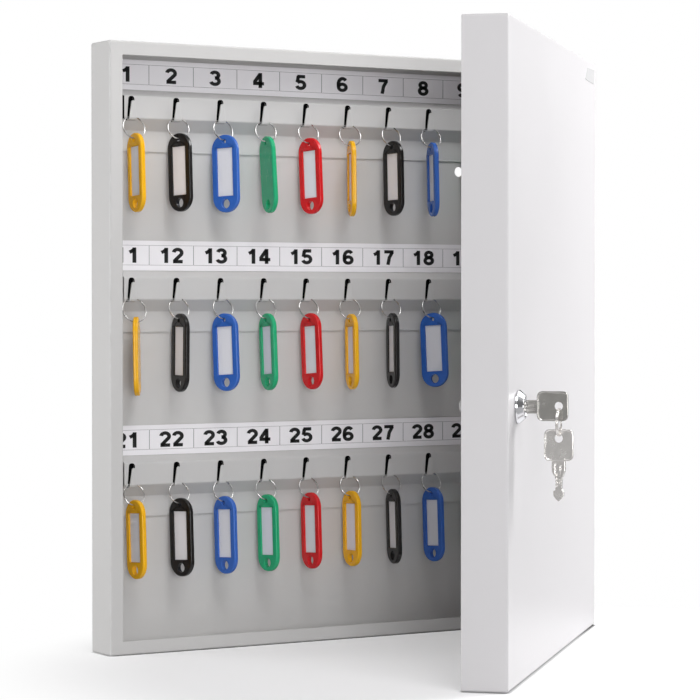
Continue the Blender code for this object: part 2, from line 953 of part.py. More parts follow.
def make_door_key(finish, lock_axis):
    # Drawn in the side view, with the outside of the door towards smaller values.
    bow_near = -key_bow_start
    bow_far = bow_near - key_bow_length
    bow = rounded_rectangle(
        (bow_far, key_bow_rise - key_bow_height * half),
        (bow_near, key_bow_rise + key_bow_height * half),
        key_bow_corner_radius,
        bow_corner_sides,
    )
    hole = circle((bow_near - key_hole_from_start, key_bow_rise), key_hole_diameter * half, hole_sides)
    blank = prism("door_key", [bow, hole], key_thickness, "side")
    shoulder_end = -bezel_height - touching_gap * 2
    top = key_blade_height * half
    blade_tip = shoulder_end + key_blade_length
    outline = [
        (bow_near - key_bow_corner_radius, -key_shoulder_height * half),
        (shoulder_end, -key_shoulder_height * half),
        (shoulder_end, -top),
        (blade_tip - top, -top),
        (blade_tip, 0),
        (blade_tip - top, top),
    ]
    cut_pitch = key_blade_length * half / key_cut_count
    for i in range(key_cut_count):
        start = blade_tip - top - cut_pitch * (i + half)
        depth = key_cut_depth * (1 if i % 2 == 0 else half)
        outline.append((start, top))
        outline.append((start - cut_pitch * half * half, top - depth))
        outline.append((start - cut_pitch * half, top - depth))
        outline.append((start - cut_pitch * (half + half * half), top))
    outline.append((shoulder_end, top))
    outline.append((shoulder_end, key_shoulder_height * half))
    outline.append((bow_near - key_bow_corner_radius, key_shoulder_height * half))
    blade = prism("key_blade", [outline], key_thickness * key_blade_thickness_share, "side")
    return add_part("door_key", combined_mesh(blank, [(blade, "UNION")]), finish, parent=lock_axis)


def make_spare_set(finish, swing_axis):
    # Everything hangs from the middle of the bow's hole.
    wire = ring_between_keys_wire * half
    radius = ring_between_keys_diameter * half - wire
    bow_rest = key_hole_diameter * half - wire - touching_gap
    ring = torus("key_ring", radius, wire, key_ring_sides, key_ring_wire_sides)
    ring.transform(Matrix.Translation((0, 0, -radius - bow_rest)) @ Matrix.Rotation(math.pi * half, 4, "X"))
    add_part("key_ring", ring, finish, parent=swing_axis)

    hole_height = -bow_rest - 2 * radius - (key_hole_diameter * half - wire - touching_gap)
    top = hole_height + spare_hole_from_top
    bow = rounded_rectangle(
        (-spare_bow_width * half, top - spare_bow_height),
        (spare_bow_width * half, top),
        key_bow_corner_radius,
        bow_corner_sides,
    )
    hole = circle((0, hole_height), key_hole_diameter * half, hole_sides)
    blank = prism("spare_key", [bow, hole], key_thickness, "side")
    bow_low = top - spare_bow_height + key_bow_corner_radius
    shoulder = spare_shoulder_width * half
    neck = spare_neck_width * half
    tip = spare_tip_width * half
    tip_low = top - spare_length
    outline = [
        (-shoulder, bow_low),
        (-shoulder, top - spare_shoulder_end),
        (-neck, top - spare_shoulder_end - spare_shoulder_width * half),
        (-neck, top - spare_neck_end),
        (-tip, top - spare_neck_end - tip * half),
        (-tip, tip_low + tip),
        (0, tip_low),
        (tip, tip_low + tip),
        (tip, top - spare_neck_end - tip * half),
        (neck, top - spare_neck_end),
        (neck, top - spare_shoulder_end - spare_shoulder_width * half),
        (shoulder, top - spare_shoulder_end),
        (shoulder, bow_low),
    ]
    blade = prism("spare_blade", [outline], key_thickness * key_blade_thickness_share, "side")
    add_part("spare_key", combined_mesh(blank, [(blade, "UNION")]), finish, parent=swing_axis)


# Assembly

def axis_empty(name, location, parent=None):
    empty = bpy.data.objects.new(name, None)
    parts.objects.link(empty)
    empty.location = location
    empty.parent = parent
    return empty


def build():
    powder_coat = material("powder_coated_steel", steel_grey, 0.45, 0)
    rail_coat = material("powder_coated_rail", steel_grey, 0.45, 0)
    door_coat = material("powder_coated_door", steel_grey, 0.40, 0)
    card = material("printed_card", card_white, 0.60, 0)
    hinge_zinc = material("hinge_zinc", zinc_grey, 0.40, 1)
    lock_finishes = {
        "chrome": material("bright_chrome", bright_chrome, 0.10, 1),
        "zinc": material("zinc_plate", zinc_grey, 0.35, 1),
    }
    key_finish = material("nickel_silver", nickel_silver, 0.30, 1)
    tag_finishes = {}
    for name in tag_colour_names:
        tag_finishes[name] = material("tag_" + name + "_plastic", tag_colours[name], 0.35, 0)

    door_axis = axis_empty("door_hinge_axis", hinge_axis)
    door_axis.rotation_euler.z = door_open_angle
    lock_axis = axis_empty("lock_turn_axis", lock_centre - hinge_axis, door_axis)
    bow_hole = Vector((0, -key_bow_start - key_hole_from_start, key_bow_rise))
    swing_axis = axis_empty("spare_swing_axis", bow_hole, lock_axis)

    make_body_shell(powder_coat)
    make_rails(rail_coat)
    make_cards(card)
    make_tags(tag_finishes)
    make_hinges(hinge_zinc, door_axis)
    make_door_shell(door_coat, door_axis)
    make_lock(lock_finishes, door_axis, lock_axis)
    make_door_key(key_finish, lock_axis)
    make_spare_set(key_finish, swing_axis)


build()
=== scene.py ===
import json
import math

import bmesh
import bpy
import numpy as np
from mathutils import Matrix, Vector


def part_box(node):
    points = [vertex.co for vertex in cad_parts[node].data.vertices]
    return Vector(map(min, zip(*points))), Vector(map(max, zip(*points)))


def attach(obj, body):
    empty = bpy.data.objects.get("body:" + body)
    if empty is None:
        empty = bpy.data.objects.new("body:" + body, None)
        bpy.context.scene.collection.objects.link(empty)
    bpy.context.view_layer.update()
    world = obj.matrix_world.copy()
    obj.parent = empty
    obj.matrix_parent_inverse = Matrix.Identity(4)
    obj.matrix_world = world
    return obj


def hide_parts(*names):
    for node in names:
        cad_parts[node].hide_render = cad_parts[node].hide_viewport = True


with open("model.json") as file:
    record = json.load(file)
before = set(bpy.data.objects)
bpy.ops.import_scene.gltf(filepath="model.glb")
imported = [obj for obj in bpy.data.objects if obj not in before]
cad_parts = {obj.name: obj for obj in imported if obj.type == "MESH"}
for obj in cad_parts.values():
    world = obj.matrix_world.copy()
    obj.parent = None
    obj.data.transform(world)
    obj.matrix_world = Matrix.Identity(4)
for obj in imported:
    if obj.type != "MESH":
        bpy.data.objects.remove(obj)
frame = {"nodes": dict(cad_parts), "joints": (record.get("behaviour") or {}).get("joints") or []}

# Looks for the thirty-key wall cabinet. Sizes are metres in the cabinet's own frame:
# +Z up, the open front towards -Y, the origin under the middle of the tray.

scene = bpy.context.scene
scene.view_settings.view_transform = "Standard"
mm = 0.001
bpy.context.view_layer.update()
joints = {joint["name"]: joint for joint in frame["joints"]}
print("frame loaded:", len(frame["nodes"]), "nodes")


# Places that follow the joints

doorHinge = Vector(joints["door_hinge"]["pos_m"])
doorAngle = math.radians(-joints["door_hinge"]["range_deg"][0])
doorTurn = Matrix.Rotation(doorAngle, 4, "Z")
doorPlace = Matrix.Translation(doorHinge) @ doorTurn @ Matrix.Translation(-doorHinge)
lockPlace = Matrix.Translation(joints["lock_turn"]["pos_m"]) @ doorTurn
swingPlace = Matrix.Translation(joints["spare_swing"]["pos_m"]) @ doorTurn


# Camera, matched to the photograph's view

cameraSettings = {"place": (-0.981, -1.6298, 0.2365), "yaw": 0.549, "pitch": 0.018, "lens": 139.0, "sensor": 36.0}


def makeCamera(settings):
    lens = bpy.data.cameras.new("camera")
    lens.lens = settings["lens"]
    lens.sensor_width = settings["sensor"]
    lens.clip_start = 0.05
    lens.clip_end = 60
    camera = bpy.data.objects.new("camera", lens)
    camera.location = settings["place"]
    camera.rotation_euler = (math.pi / 2 - settings["pitch"], 0, -settings["yaw"])
    scene.collection.objects.link(camera)
    scene.camera = camera


makeCamera(cameraSettings)


# Lights: big soft lamps, each aimed at the cabinet's middle. Angles are seen from above,
# 0 straight in front and 90 on the hinge side.

lampSettings = {
    "target": (0.03, -0.08, 0.20),
    "lamps": {
        "highFrontLamp": {"angle": -12, "rise": 52, "distance": 1.9, "size": 0.9, "power": 13.2},
        "lowFrontLamp": {"angle": -24, "rise": 4, "distance": 1.9, "size": 0.6, "power": 11.2},
        "hingeSideLamp": {"angle": 80, "rise": 32, "distance": 1.25, "size": 0.8, "power": 19.7},
        "leftLamp": {"angle": -120, "rise": -2, "distance": 1.8, "size": 1.0, "power": 21.5},
    },
    "worldStrength": 0.25, "worldGlossDark": 0.22, "worldGlossLight": 0.95, "worldGlossFrom": 0.35, "worldGlossTo": 0.75,
}


def makeLamps(settings):
    target = Vector(settings["target"])
    for name, lamp in settings["lamps"].items():
        angle = math.radians(lamp["angle"])
        rise = math.radians(lamp["rise"])
        away = Vector((math.sin(angle) * math.cos(rise), -math.cos(angle) * math.cos(rise), math.sin(rise)))
        light = bpy.data.lights.new(name, "AREA")
        light.shape = "DISK"
        light.size = lamp["size"]
        light.energy = lamp["power"]
        holder = bpy.data.objects.new(name, light)
        holder.location = target + away * lamp["distance"]
        holder.rotation_euler = away.to_track_quat("Z", "Y").to_euler()
        scene.collection.objects.link(holder)


def addNode(tree, kind, **inputs):
    # A node with its sockets set; a value that is a socket is linked from
    node = tree.nodes.new(kind)
    for name, value in inputs.items():
        if name in ("operation", "blend_type", "data_type", "noise_dimensions", "feature", "distance", "vector_type", "mode", "clamp", "attribute_name", "interpolation_type"):
            setattr(node, name, value)
            continue
        key = int(name[1:]) if name[0] == "i" and name[1:].isdigit() else name.replace("_", " ")
        socket = node.inputs[key]
        if isinstance(value, bpy.types.NodeSocket):
            tree.links.new(value, socket)
        else:
            socket.default_value = value
    return node


def mixColour(tree, mask, first, second, blend="MIX"):
    node = tree.nodes.new("ShaderNodeMix")
    node.data_type = "RGBA"
    node.blend_type = blend
    for socket, value in ((node.inputs[0], mask), (node.inputs[6], first), (node.inputs[7], second)):
        if isinstance(value, bpy.types.NodeSocket):
            tree.links.new(value, socket)
        else:
            socket.default_value = value
    return node.outputs[2]


def makeWorld(settings):
    # White to the camera. Polished metal sees a dim studio wall with a bright ceiling instead.
    world = bpy.data.worlds.new("studio")
    scene.world = world
    world.use_nodes = True
    tree = world.node_tree
    tree.nodes.clear()
    path = tree.nodes.new("ShaderNodeLightPath")
    seen = addNode(tree, "ShaderNodeMath", operation="MAXIMUM", i0=path.outputs["Is Camera Ray"], i1=path.outputs["Is Transmission Ray"])
    softLight = addNode(tree, "ShaderNodeBackground", Color=(1, 1, 1, 1), Strength=settings["worldStrength"])
    white = addNode(tree, "ShaderNodeBackground", Color=(1, 1, 1, 1), Strength=1)
    toward = tree.nodes.new("ShaderNodeTexCoord")
    height = addNode(tree, "ShaderNodeSeparateXYZ", Vector=toward.outputs["Generated"])
    gloss = addNode(
        tree, "ShaderNodeMapRange", interpolation_type="SMOOTHSTEP", Value=height.outputs["Z"],
        From_Min=settings["worldGlossFrom"], From_Max=settings["worldGlossTo"],
        To_Min=settings["worldGlossDark"], To_Max=settings["worldGlossLight"],
    )
    mirrored = addNode(tree, "ShaderNodeBackground", Color=(1, 1, 1, 1), Strength=gloss.outputs[0])
    mixed = addNode(tree, "ShaderNodeMixShader", i0=path.outputs["Is Glossy Ray"], i1=softLight.outputs[0], i2=mirrored.outputs[0])
    mixed = addNode(tree, "ShaderNodeMixShader", i0=seen.outputs[0], i1=mixed.outputs[0], i2=white.outputs[0])
    output = tree.nodes.new("ShaderNodeOutputWorld")
    tree.links.new(mixed.outputs[0], output.inputs["Surface"])


makeLamps(lampSettings)
makeWorld(lampSettings)


# Floor: pale, white to the eye where nothing shades it, with the cabinet's soft shadow and a painted contact shadow
# round its base

floorSettings = {
    "radius": 14.0, "colour": (0.66, 0.655, 0.665, 1), "lift": 0.33, "fadeCentre": (0.03, -0.20, 0.0), "fadeStart": 0.23, "fadeEnd": 0.36,
    "bounce": 0.55, "mirrored": 0.6, "contactReach": 0.005, "contactLow": 0.50, "contactHigh": 0.80, "contactNear": -0.03, "contactAway": -0.10, "contactFaint": 0.5,
}


def makeFloor(settings):
    # A flat disc: rings of growing radius about the origin
    turns = np.linspace(0, 2 * np.pi, 96, endpoint=False)
    radii = settings["radius"] * np.linspace(0, 1, 24) ** 2
    grid = np.stack((np.outer(radii, np.cos(turns)), np.outer(radii, np.sin(turns)), np.zeros((24, 96))), -1)
    mesh = bpy.data.meshes.new("floor")
    index = np.arange(24 * 96).reshape(24, 96)
    cells = np.stack((index, np.roll(index, -1, 0), np.roll(np.roll(index, -1, 0), -1, 1), np.roll(index, -1, 1)), -1)[:-1]
    mesh.from_pydata(grid.reshape(-1, 3), [], cells.reshape(-1, 4))
    floor = bpy.data.objects.new("floor", mesh)
    scene.collection.objects.link(floor)

    finish = bpy.data.materials.new("floorWhite")
    finish.use_nodes = True
    tree = finish.node_tree
    shader = tree.nodes["Principled BSDF"]
    path = tree.nodes.new("ShaderNodeLightPath")
    seen = addNode(tree, "ShaderNodeMath", operation="MAXIMUM", i0=path.outputs["Is Camera Ray"], i1=path.outputs["Is Glossy Ray"])
    share = addNode(tree, "ShaderNodeMapRange", Value=seen.outputs[0], To_Min=settings["bounce"], To_Max=1.0)
    # Painted contact shadow: ambient occlusion darkens the floor's colour and glow within a few millimetres of the
    # cabinet, less so towards the front
    near = addNode(tree, "ShaderNodeAmbientOcclusion", Color=(1, 1, 1, 1), Distance=settings["contactReach"])
    place = tree.nodes.new("ShaderNodeTexCoord")
    spot = addNode(tree, "ShaderNodeSeparateXYZ", Vector=place.outputs["Object"])
    faint = addNode(
        tree, "ShaderNodeMapRange", Value=spot.outputs["Y"], From_Min=settings["contactNear"],
        From_Max=settings["contactAway"], To_Min=0.0, To_Max=settings["contactFaint"],
    )
    clear = addNode(
        tree, "ShaderNodeMapRange", Value=near.outputs["AO"], From_Min=settings["contactLow"],
        From_Max=settings["contactHigh"], To_Min=faint.outputs[0], To_Max=1.0,
    )
    strength = addNode(tree, "ShaderNodeMath", operation="MULTIPLY", i0=share.outputs[0], i1=clear.outputs[0])
    tree.links.new(mixColour(tree, strength.outputs[0], (0, 0, 0, 1), settings["colour"]), shader.inputs["Base Color"])
    shader.inputs["Roughness"].default_value = 0.7
    shader.inputs["Specular IOR Level"].default_value = 0.2
    far = addNode(tree, "ShaderNodeVectorMath", operation="DISTANCE", i0=place.outputs["Object"], i1=settings["fadeCentre"])
    fade = addNode(tree, "ShaderNodeMapRange", interpolation_type="SMOOTHSTEP", Value=far.outputs["Value"], From_Min=settings["fadeStart"], From_Max=settings["fadeEnd"])
    lift = addNode(tree, "ShaderNodeMath", operation="MULTIPLY", i0=strength.outputs[0], i1=settings["lift"])
    glow = addNode(tree, "ShaderNodeEmission", Color=(1, 1, 1, 1), Strength=lift.outputs[0])
    lit = tree.nodes.new("ShaderNodeAddShader")
    tree.links.new(shader.outputs[0], lit.inputs[0])
    tree.links.new(glow.outputs[0], lit.inputs[1])
    bright = addNode(tree, "ShaderNodeMapRange", Value=path.outputs["Is Camera Ray"], To_Min=settings["mirrored"], To_Max=1.0)
    white = addNode(tree, "ShaderNodeEmission", Color=(1, 1, 1, 1), Strength=bright.outputs[0])
    away = addNode(tree, "ShaderNodeMath", operation="MULTIPLY", i0=fade.outputs[0], i1=seen.outputs[0])
    mixed = addNode(tree, "ShaderNodeMixShader", i0=away.outputs[0], i1=lit.outputs[0], i2=white.outputs[0])
    tree.links.new(mixed.outputs[0], tree.nodes["Material Output"].inputs["Surface"])
    mesh.materials.append(finish)


makeFloor(floorSettings)
print("camera, lamps and floor ready")


# Shared effects, as node groups

def newGroup(name, inputs, outputs):
    # inputs and outputs are (name, kind, default) rows
    group = bpy.data.node_groups.new(name, "ShaderNodeTree")
    for row in inputs:
        socket = group.interface.new_socket(name=row[0], in_out="INPUT", socket_type="NodeSocket" + row[1])
        if len(row) > 2:
            socket.default_value = row[2]
    for row in outputs:
        group.interface.new_socket(name=row[0], in_out="OUTPUT", socket_type="NodeSocket" + row[1])
    return group, group.nodes.new("NodeGroupInput"), group.nodes.new("NodeGroupOutput")


def makePowderGroup():
    # Powder coat: a fine orange peel, a broad unevenness and a slow drift of tone
    group, given, result = newGroup(
        "powderCoat",
        [("Vector", "Vector"), ("Peel Scale", "Float", 900.0), ("Wave Scale", "Float", 130.0)],
        [("Height", "Float"), ("Tone", "Float")],
    )
    peel = addNode(group, "ShaderNodeTexNoise", Vector=given.outputs["Vector"], Scale=given.outputs["Peel Scale"], Detail=2.0, Roughness=0.5)
    wave = addNode(group, "ShaderNodeTexNoise", Vector=given.outputs["Vector"], Scale=given.outputs["Wave Scale"], Detail=1.0, Roughness=0.4)
    drift = addNode(group, "ShaderNodeTexNoise", Vector=given.outputs["Vector"], Scale=9.0, Detail=3.0, Roughness=0.55)
    small = addNode(group, "ShaderNodeMath", operation="MULTIPLY", i0=peel.outputs["Fac"], i1=0.45)
    height = addNode(group, "ShaderNodeMath", operation="ADD", i0=wave.outputs["Fac"], i1=small.outputs[0])
    group.links.new(height.outputs[0], result.inputs["Height"])
    group.links.new(drift.outputs["Fac"], result.inputs["Tone"])
    return group


def makeEdgeGroup():
    # Edge wear: how near a point is to an edge of the box from Low to High, broken up by noise
    group, given, result = newGroup(
        "edgeWear",
        [("Vector", "Vector"), ("Low", "Vector"), ("High", "Vector"), ("Width", "Float", 0.002), ("Break Scale", "Float", 60.0)],
        [("Mask", "Float")],
    )
    fromLow = addNode(group, "ShaderNodeVectorMath", operation="SUBTRACT", i0=given.outputs["Vector"], i1=given.outputs["Low"])
    fromHigh = addNode(group, "ShaderNodeVectorMath", operation="SUBTRACT", i0=given.outputs["High"], i1=given.outputs["Vector"])
    nearest = addNode(group, "ShaderNodeVectorMath", operation="MINIMUM", i0=fromLow.outputs[0], i1=fromHigh.outputs[0])
    split = addNode(group, "ShaderNodeSeparateXYZ", Vector=nearest.outputs[0])
    pairs = []
    for first, second in (("X", "Y"), ("Y", "Z"), ("X", "Z")):
        pairs.append(addNode(group, "ShaderNodeMath", operation="MAXIMUM", i0=split.outputs[first], i1=split.outputs[second]))
    edge = addNode(group, "ShaderNodeMath", operation="MINIMUM", i0=pairs[0].outputs[0], i1=pairs[1].outputs[0])
    edge = addNode(group, "ShaderNodeMath", operation="MINIMUM", i0=edge.outputs[0], i1=pairs[2].outputs[0])
    near = addNode(group, "ShaderNodeMapRange", interpolation_type="SMOOTHSTEP", Value=edge.outputs[0], From_Min=0.0, From_Max=given.outputs["Width"], To_Min=1.0, To_Max=0.0)
    spots = addNode(group, "ShaderNodeTexNoise", Vector=given.outputs["Vector"], Scale=given.outputs["Break Scale"], Detail=4.0, Roughness=0.65)
    patches = addNode(group, "ShaderNodeMapRange", Value=spots.outputs["Fac"], From_Min=0.42, From_Max=0.68)
    mask = addNode(group, "ShaderNodeMath", operation="MULTIPLY", i0=near.outputs[0], i1=patches.outputs[0])
    group.links.new(mask.outputs[0], result.inputs["Mask"])
    return group


def makeDustGroup():
    # Dust: a thin film in clouds on faces that look up
    group, given, result = newGroup("settledDust", [("Vector", "Vector"), ("Amount", "Float", 0.5)], [("Mask", "Float")])
    face = group.nodes.new("ShaderNodeNewGeometry")
    up = addNode(group, "ShaderNodeSeparateXYZ", Vector=face.outputs["Normal"])
    flat = addNode(group, "ShaderNodeMapRange", Value=up.outputs["Z"], From_Min=0.55, From_Max=0.98)
    cloud = addNode(group, "ShaderNodeTexNoise", Vector=given.outputs["Vector"], Scale=45.0, Detail=5.0, Roughness=0.7)
    clump = addNode(group, "ShaderNodeMapRange", Value=cloud.outputs["Fac"], From_Min=0.35, From_Max=0.75)
    mask = addNode(group, "ShaderNodeMath", operation="MULTIPLY", i0=flat.outputs[0], i1=clump.outputs[0])
    mask = addNode(group, "ShaderNodeMath", operation="MULTIPLY", i0=mask.outputs[0], i1=given.outputs["Amount"])
    group.links.new(mask.outputs[0], result.inputs["Mask"])
    return group


def makeBrushGroup():
    # Brushed or drawn metal: noise stretched along one axis by the Stretch scales
    group, given, result = newGroup(
        "drawnMetal",
        [("Vector", "Vector"), ("Stretch", "Vector", (60.0, 60.0, 2400.0))],
        [("Height", "Float"), ("Tone", "Float")],
    )
    drawn = addNode(group, "ShaderNodeVectorMath", operation="MULTIPLY", i0=given.outputs["Vector"], i1=given.outputs["Stretch"])
    lines = addNode(group, "ShaderNodeTexNoise", Vector=drawn.outputs[0], Scale=1.0, Detail=3.0, Roughness=0.6)
    blotch = addNode(group, "ShaderNodeTexNoise", Vector=given.outputs["Vector"], Scale=220.0, Detail=4.0, Roughness=0.6)
    group.links.new(lines.outputs["Fac"], result.inputs["Height"])
    group.links.new(blotch.outputs["Fac"], result.inputs["Tone"])
    return group


def makeMouldedGroup():
    # Moulded plastic: a fine matt texture, slow flow marks and a few faint scuffs
    group, given, result = newGroup("mouldedPlastic", [("Vector", "Vector")], [("Height", "Float"), ("Tone", "Float"), ("Scuff", "Float")])
    grain = addNode(group, "ShaderNodeTexNoise", Vector=given.outputs["Vector"], Scale=2600.0, Detail=2.0, Roughness=0.5)
    flow = addNode(group, "ShaderNodeTexNoise", Vector=given.outputs["Vector"], Scale=70.0, Detail=2.0, Roughness=0.5)
    stretched = addNode(group, "ShaderNodeVectorMath", operation="MULTIPLY", i0=given.outputs["Vector"], i1=(900.0, 900.0, 160.0))
    scratches = addNode(group, "ShaderNodeTexNoise", Vector=stretched.outputs[0], Scale=1.0, Detail=5.0, Roughness=0.75)
    scuff = addNode(group, "ShaderNodeMapRange", Value=scratches.outputs["Fac"], From_Min=0.60, From_Max=0.72)
    group.links.new(grain.outputs["Fac"], result.inputs["Height"])
    group.links.new(flow.outputs["Fac"], result.inputs["Tone"])
    group.links.new(scuff.outputs[0], result.inputs["Scuff"])
    return group


def makeFibreGroup():
    # Paper: short soft fibres in two directions
    group, given, result = newGroup("paperFibre", [("Vector", "Vector")], [("Height", "Float"), ("Tone", "Float")])
    along = addNode(group, "ShaderNodeVectorMath", operation="MULTIPLY", i0=given.outputs["Vector"], i1=(700.0, 700.0, 3200.0))
    across = addNode(group, "ShaderNodeVectorMath", operation="MULTIPLY", i0=given.outputs["Vector"], i1=(3200.0, 3200.0, 700.0))
    first = addNode(group, "ShaderNodeTexNoise", Vector=along.outputs[0], Scale=1.0, Detail=3.0, Roughness=0.6)
    second = addNode(group, "ShaderNodeTexNoise", Vector=across.outputs[0], Scale=1.0, Detail=3.0, Roughness=0.6)
    height = addNode(group, "ShaderNodeMath", operation="ADD", i0=first.outputs["Fac"], i1=second.outputs["Fac"])
    tone = addNode(group, "ShaderNodeTexNoise", Vector=given.outputs["Vector"], Scale=60.0, Detail=3.0, Roughness=0.6)
    group.links.new(height.outputs[0], result.inputs["Height"])
    group.links.new(tone.outputs["Fac"], result.inputs["Tone"])
    return group


powderGroup = makePowderGroup()
edgeGroup = makeEdgeGroup()
dustGroup = makeDustGroup()
brushGroup = makeBrushGroup()
mouldedGroup = makeMouldedGroup()
fibreGroup = makeFibreGroup()


def useGroup(tree, group, **inputs):
    node = tree.nodes.new("ShaderNodeGroup")
    node.node_tree = group
    for name, value in inputs.items():
        socket = node.inputs[name.replace("_", " ")]
        if isinstance(value, bpy.types.NodeSocket):
            tree.links.new(value, socket)
        else:
            socket.default_value = value
    return node


def startMaterial(name, settings):
    material = bpy.data.materials.new(name)
    material.use_nodes = True
    shader = material.node_tree.nodes["Principled BSDF"]
    for key, value in settings.items():
        shader.inputs[key].default_value = value
    return material, material.node_tree, shader


def tones(colour, amount):
    # The colour a little darker and a little lighter
    darker = tuple(c * (1 - amount) for c in colour) + (1,)
    lighter = tuple(min(c * (1 + amount), 0.97) for c in colour) + (1,)
    return darker, lighter


def addBump(tree, shader, height, strength, distance, edgeRound=0.0):
    bump = addNode(tree, "ShaderNodeBump", Strength=strength, Distance=distance, Height=height)
    if edgeRound:
        soft = addNode(tree, "ShaderNodeBevel", Radius=edgeRound)
        tree.links.new(soft.outputs[0], bump.inputs["Normal"])
    tree.links.new(bump.outputs[0], shader.inputs["Normal"])


def restPoint(tree, turnBack=None):
    # Object coordinates, turned back to the closed door where the piece hangs on it
    point = tree.nodes.new("ShaderNodeTexCoord").outputs["Object"]
    if turnBack is None:
        return point
    mapping = tree.nodes.new("ShaderNodeMapping")
    mapping.inputs["Location"].default_value = turnBack.translation
    mapping.inputs["Rotation"].default_value = turnBack.to_euler()
    tree.links.new(point, mapping.inputs["Vector"])
    return mapping.outputs[0]


# Finishes

coatSettings = {
    "tray": {"colour": (0.604, 0.597, 0.591), "wear": 0.55, "roughness": 0.42, "edgeRound": 0.7 * mm},
    "rail": {"colour": (0.600, 0.595, 0.592), "wear": 0.0, "roughness": 0.45, "edgeRound": 0.3 * mm},
    "door": {"colour": (0.628, 0.616, 0.628), "wear": 0.15, "roughness": 0.36, "edgeRound": 0.35 * mm},
}


def makeCoat(name, settings, low, high, turnBack=None):
    # Light grey powder coat on steel, polished a little along its edges
    material, tree, shader = startMaterial(name, {"Specular IOR Level": 0.32})
    point = restPoint(tree, turnBack)
    powder = useGroup(tree, powderGroup, Vector=point)
    edges = useGroup(tree, edgeGroup, Vector=point, Low=low, High=high, Width=1.6 * mm)
    dust = useGroup(tree, dustGroup, Vector=point, Amount=0.35)
    darker, lighter = tones(settings["colour"], 0.022)
    colour = mixColour(tree, powder.outputs["Tone"], darker, lighter)
    worn = addNode(tree, "ShaderNodeMath", operation="MULTIPLY", i0=edges.outputs["Mask"], i1=settings["wear"])
    colour = mixColour(tree, worn.outputs[0], colour, (0.74, 0.74, 0.74, 1))
    colour = mixColour(tree, dust.outputs["Mask"], colour, (0.66, 0.65, 0.63, 1))
    tree.links.new(colour, shader.inputs["Base Color"])
    rough = addNode(tree, "ShaderNodeMapRange", Value=powder.outputs["Tone"], To_Min=settings["roughness"] - 0.04, To_Max=settings["roughness"] + 0.05)
    smoothed = addNode(tree, "ShaderNodeMath", operation="MULTIPLY", i0=edges.outputs["Mask"], i1=-0.12)
    roughness = addNode(tree, "ShaderNodeMath", operation="ADD", i0=rough.outputs[0], i1=smoothed.outputs[0])
    tree.links.new(roughness.outputs[0], shader.inputs["Roughness"])
    addBump(tree, shader, powder.outputs["Height"], 0.22, 0.00012, settings["edgeRound"])
    return material


metalSettings = {
    "hingeZinc": {"colour": (0.50, 0.505, 0.51), "roughness": 0.34, "spread": 0.10, "stretch": (90.0, 90.0, 1500.0), "bump": 0.25},
    "lockChrome": {"colour": (0.64, 0.64, 0.66), "roughness": 0.09, "spread": 0.05, "stretch": (300.0, 300.0, 300.0), "bump": 0.05},
    "lockZinc": {"colour": (0.46, 0.465, 0.47), "roughness": 0.36, "spread": 0.10, "stretch": (1200.0, 1200.0, 120.0), "bump": 0.25},
    # The door key: the spare key's nickel made darker, a painted shade for its dimmer look in the lock
    "darkNickel": {"colour": (0.42, 0.41, 0.39), "roughness": 0.25, "spread": 0.06, "stretch": (260.0, 2200.0, 260.0), "bump": 0.12},
    "keyNickel": {"colour": (0.70, 0.68, 0.66), "roughness": 0.26, "spread": 0.06, "stretch": (260.0, 260.0, 2200.0), "bump": 0.12},
    "ringSteel": {"colour": (0.46, 0.455, 0.45), "roughness": 0.27, "spread": 0.08, "stretch": (500.0, 500.0, 500.0), "bump": 0.12},
}


def makeMetal(name, settings, turnBack=None):
    # Plated metal: drawn lines, cloudy tone and uneven gloss
    material, tree, shader = startMaterial(name, {"Metallic": 1.0})
    point = restPoint(tree, turnBack)
    drawn = useGroup(tree, brushGroup, Vector=point, Stretch=settings["stretch"])
    darker, lighter = tones(settings["colour"], 0.10)
    tree.links.new(mixColour(tree, drawn.outputs["Tone"], darker, lighter), shader.inputs["Base Color"])
    rough = addNode(
        tree, "ShaderNodeMapRange", Value=drawn.outputs["Tone"], From_Min=0.3, From_Max=0.7,
        To_Min=settings["roughness"] - settings["spread"] / 2, To_Max=settings["roughness"] + settings["spread"] / 2,
    )
    tree.links.new(rough.outputs[0], shader.inputs["Roughness"])
    addBump(tree, shader, drawn.outputs["Height"], settings["bump"], 0.00006)
    return material


tagColours = {
    "yellow": (0.95, 0.480, 0.006),
    "black": (0.0095, 0.0080, 0.0080),
    "blue": (0.040, 0.145, 0.550),
    "green": (0.018, 0.430, 0.190),
    "red": (0.700, 0.010, 0.014),
}


def makePlastic(name, colour):
    # Glossy moulded plastic with flow marks and faint scuffs
    material, tree, shader = startMaterial(name, {"Specular IOR Level": 0.38})
    point = restPoint(tree)
    moulded = useGroup(tree, mouldedGroup, Vector=point)
    darker, lighter = tones(colour, 0.07)
    base = mixColour(tree, moulded.outputs["Tone"], darker, lighter)
    scuffed = tuple(c * 0.8 + 0.10 for c in colour) + (1,)
    mark = addNode(tree, "ShaderNodeMath", operation="MULTIPLY", i0=moulded.outputs["Scuff"], i1=0.16)
    tree.links.new(mixColour(tree, mark.outputs[0], base, scuffed), shader.inputs["Base Color"])
    rough = addNode(tree, "ShaderNodeMapRange", Value=moulded.outputs["Scuff"], To_Min=0.22, To_Max=0.42)
    tree.links.new(rough.outputs[0], shader.inputs["Roughness"])
    addBump(tree, shader, moulded.outputs["Height"], 0.16, 0.00004)
    return material


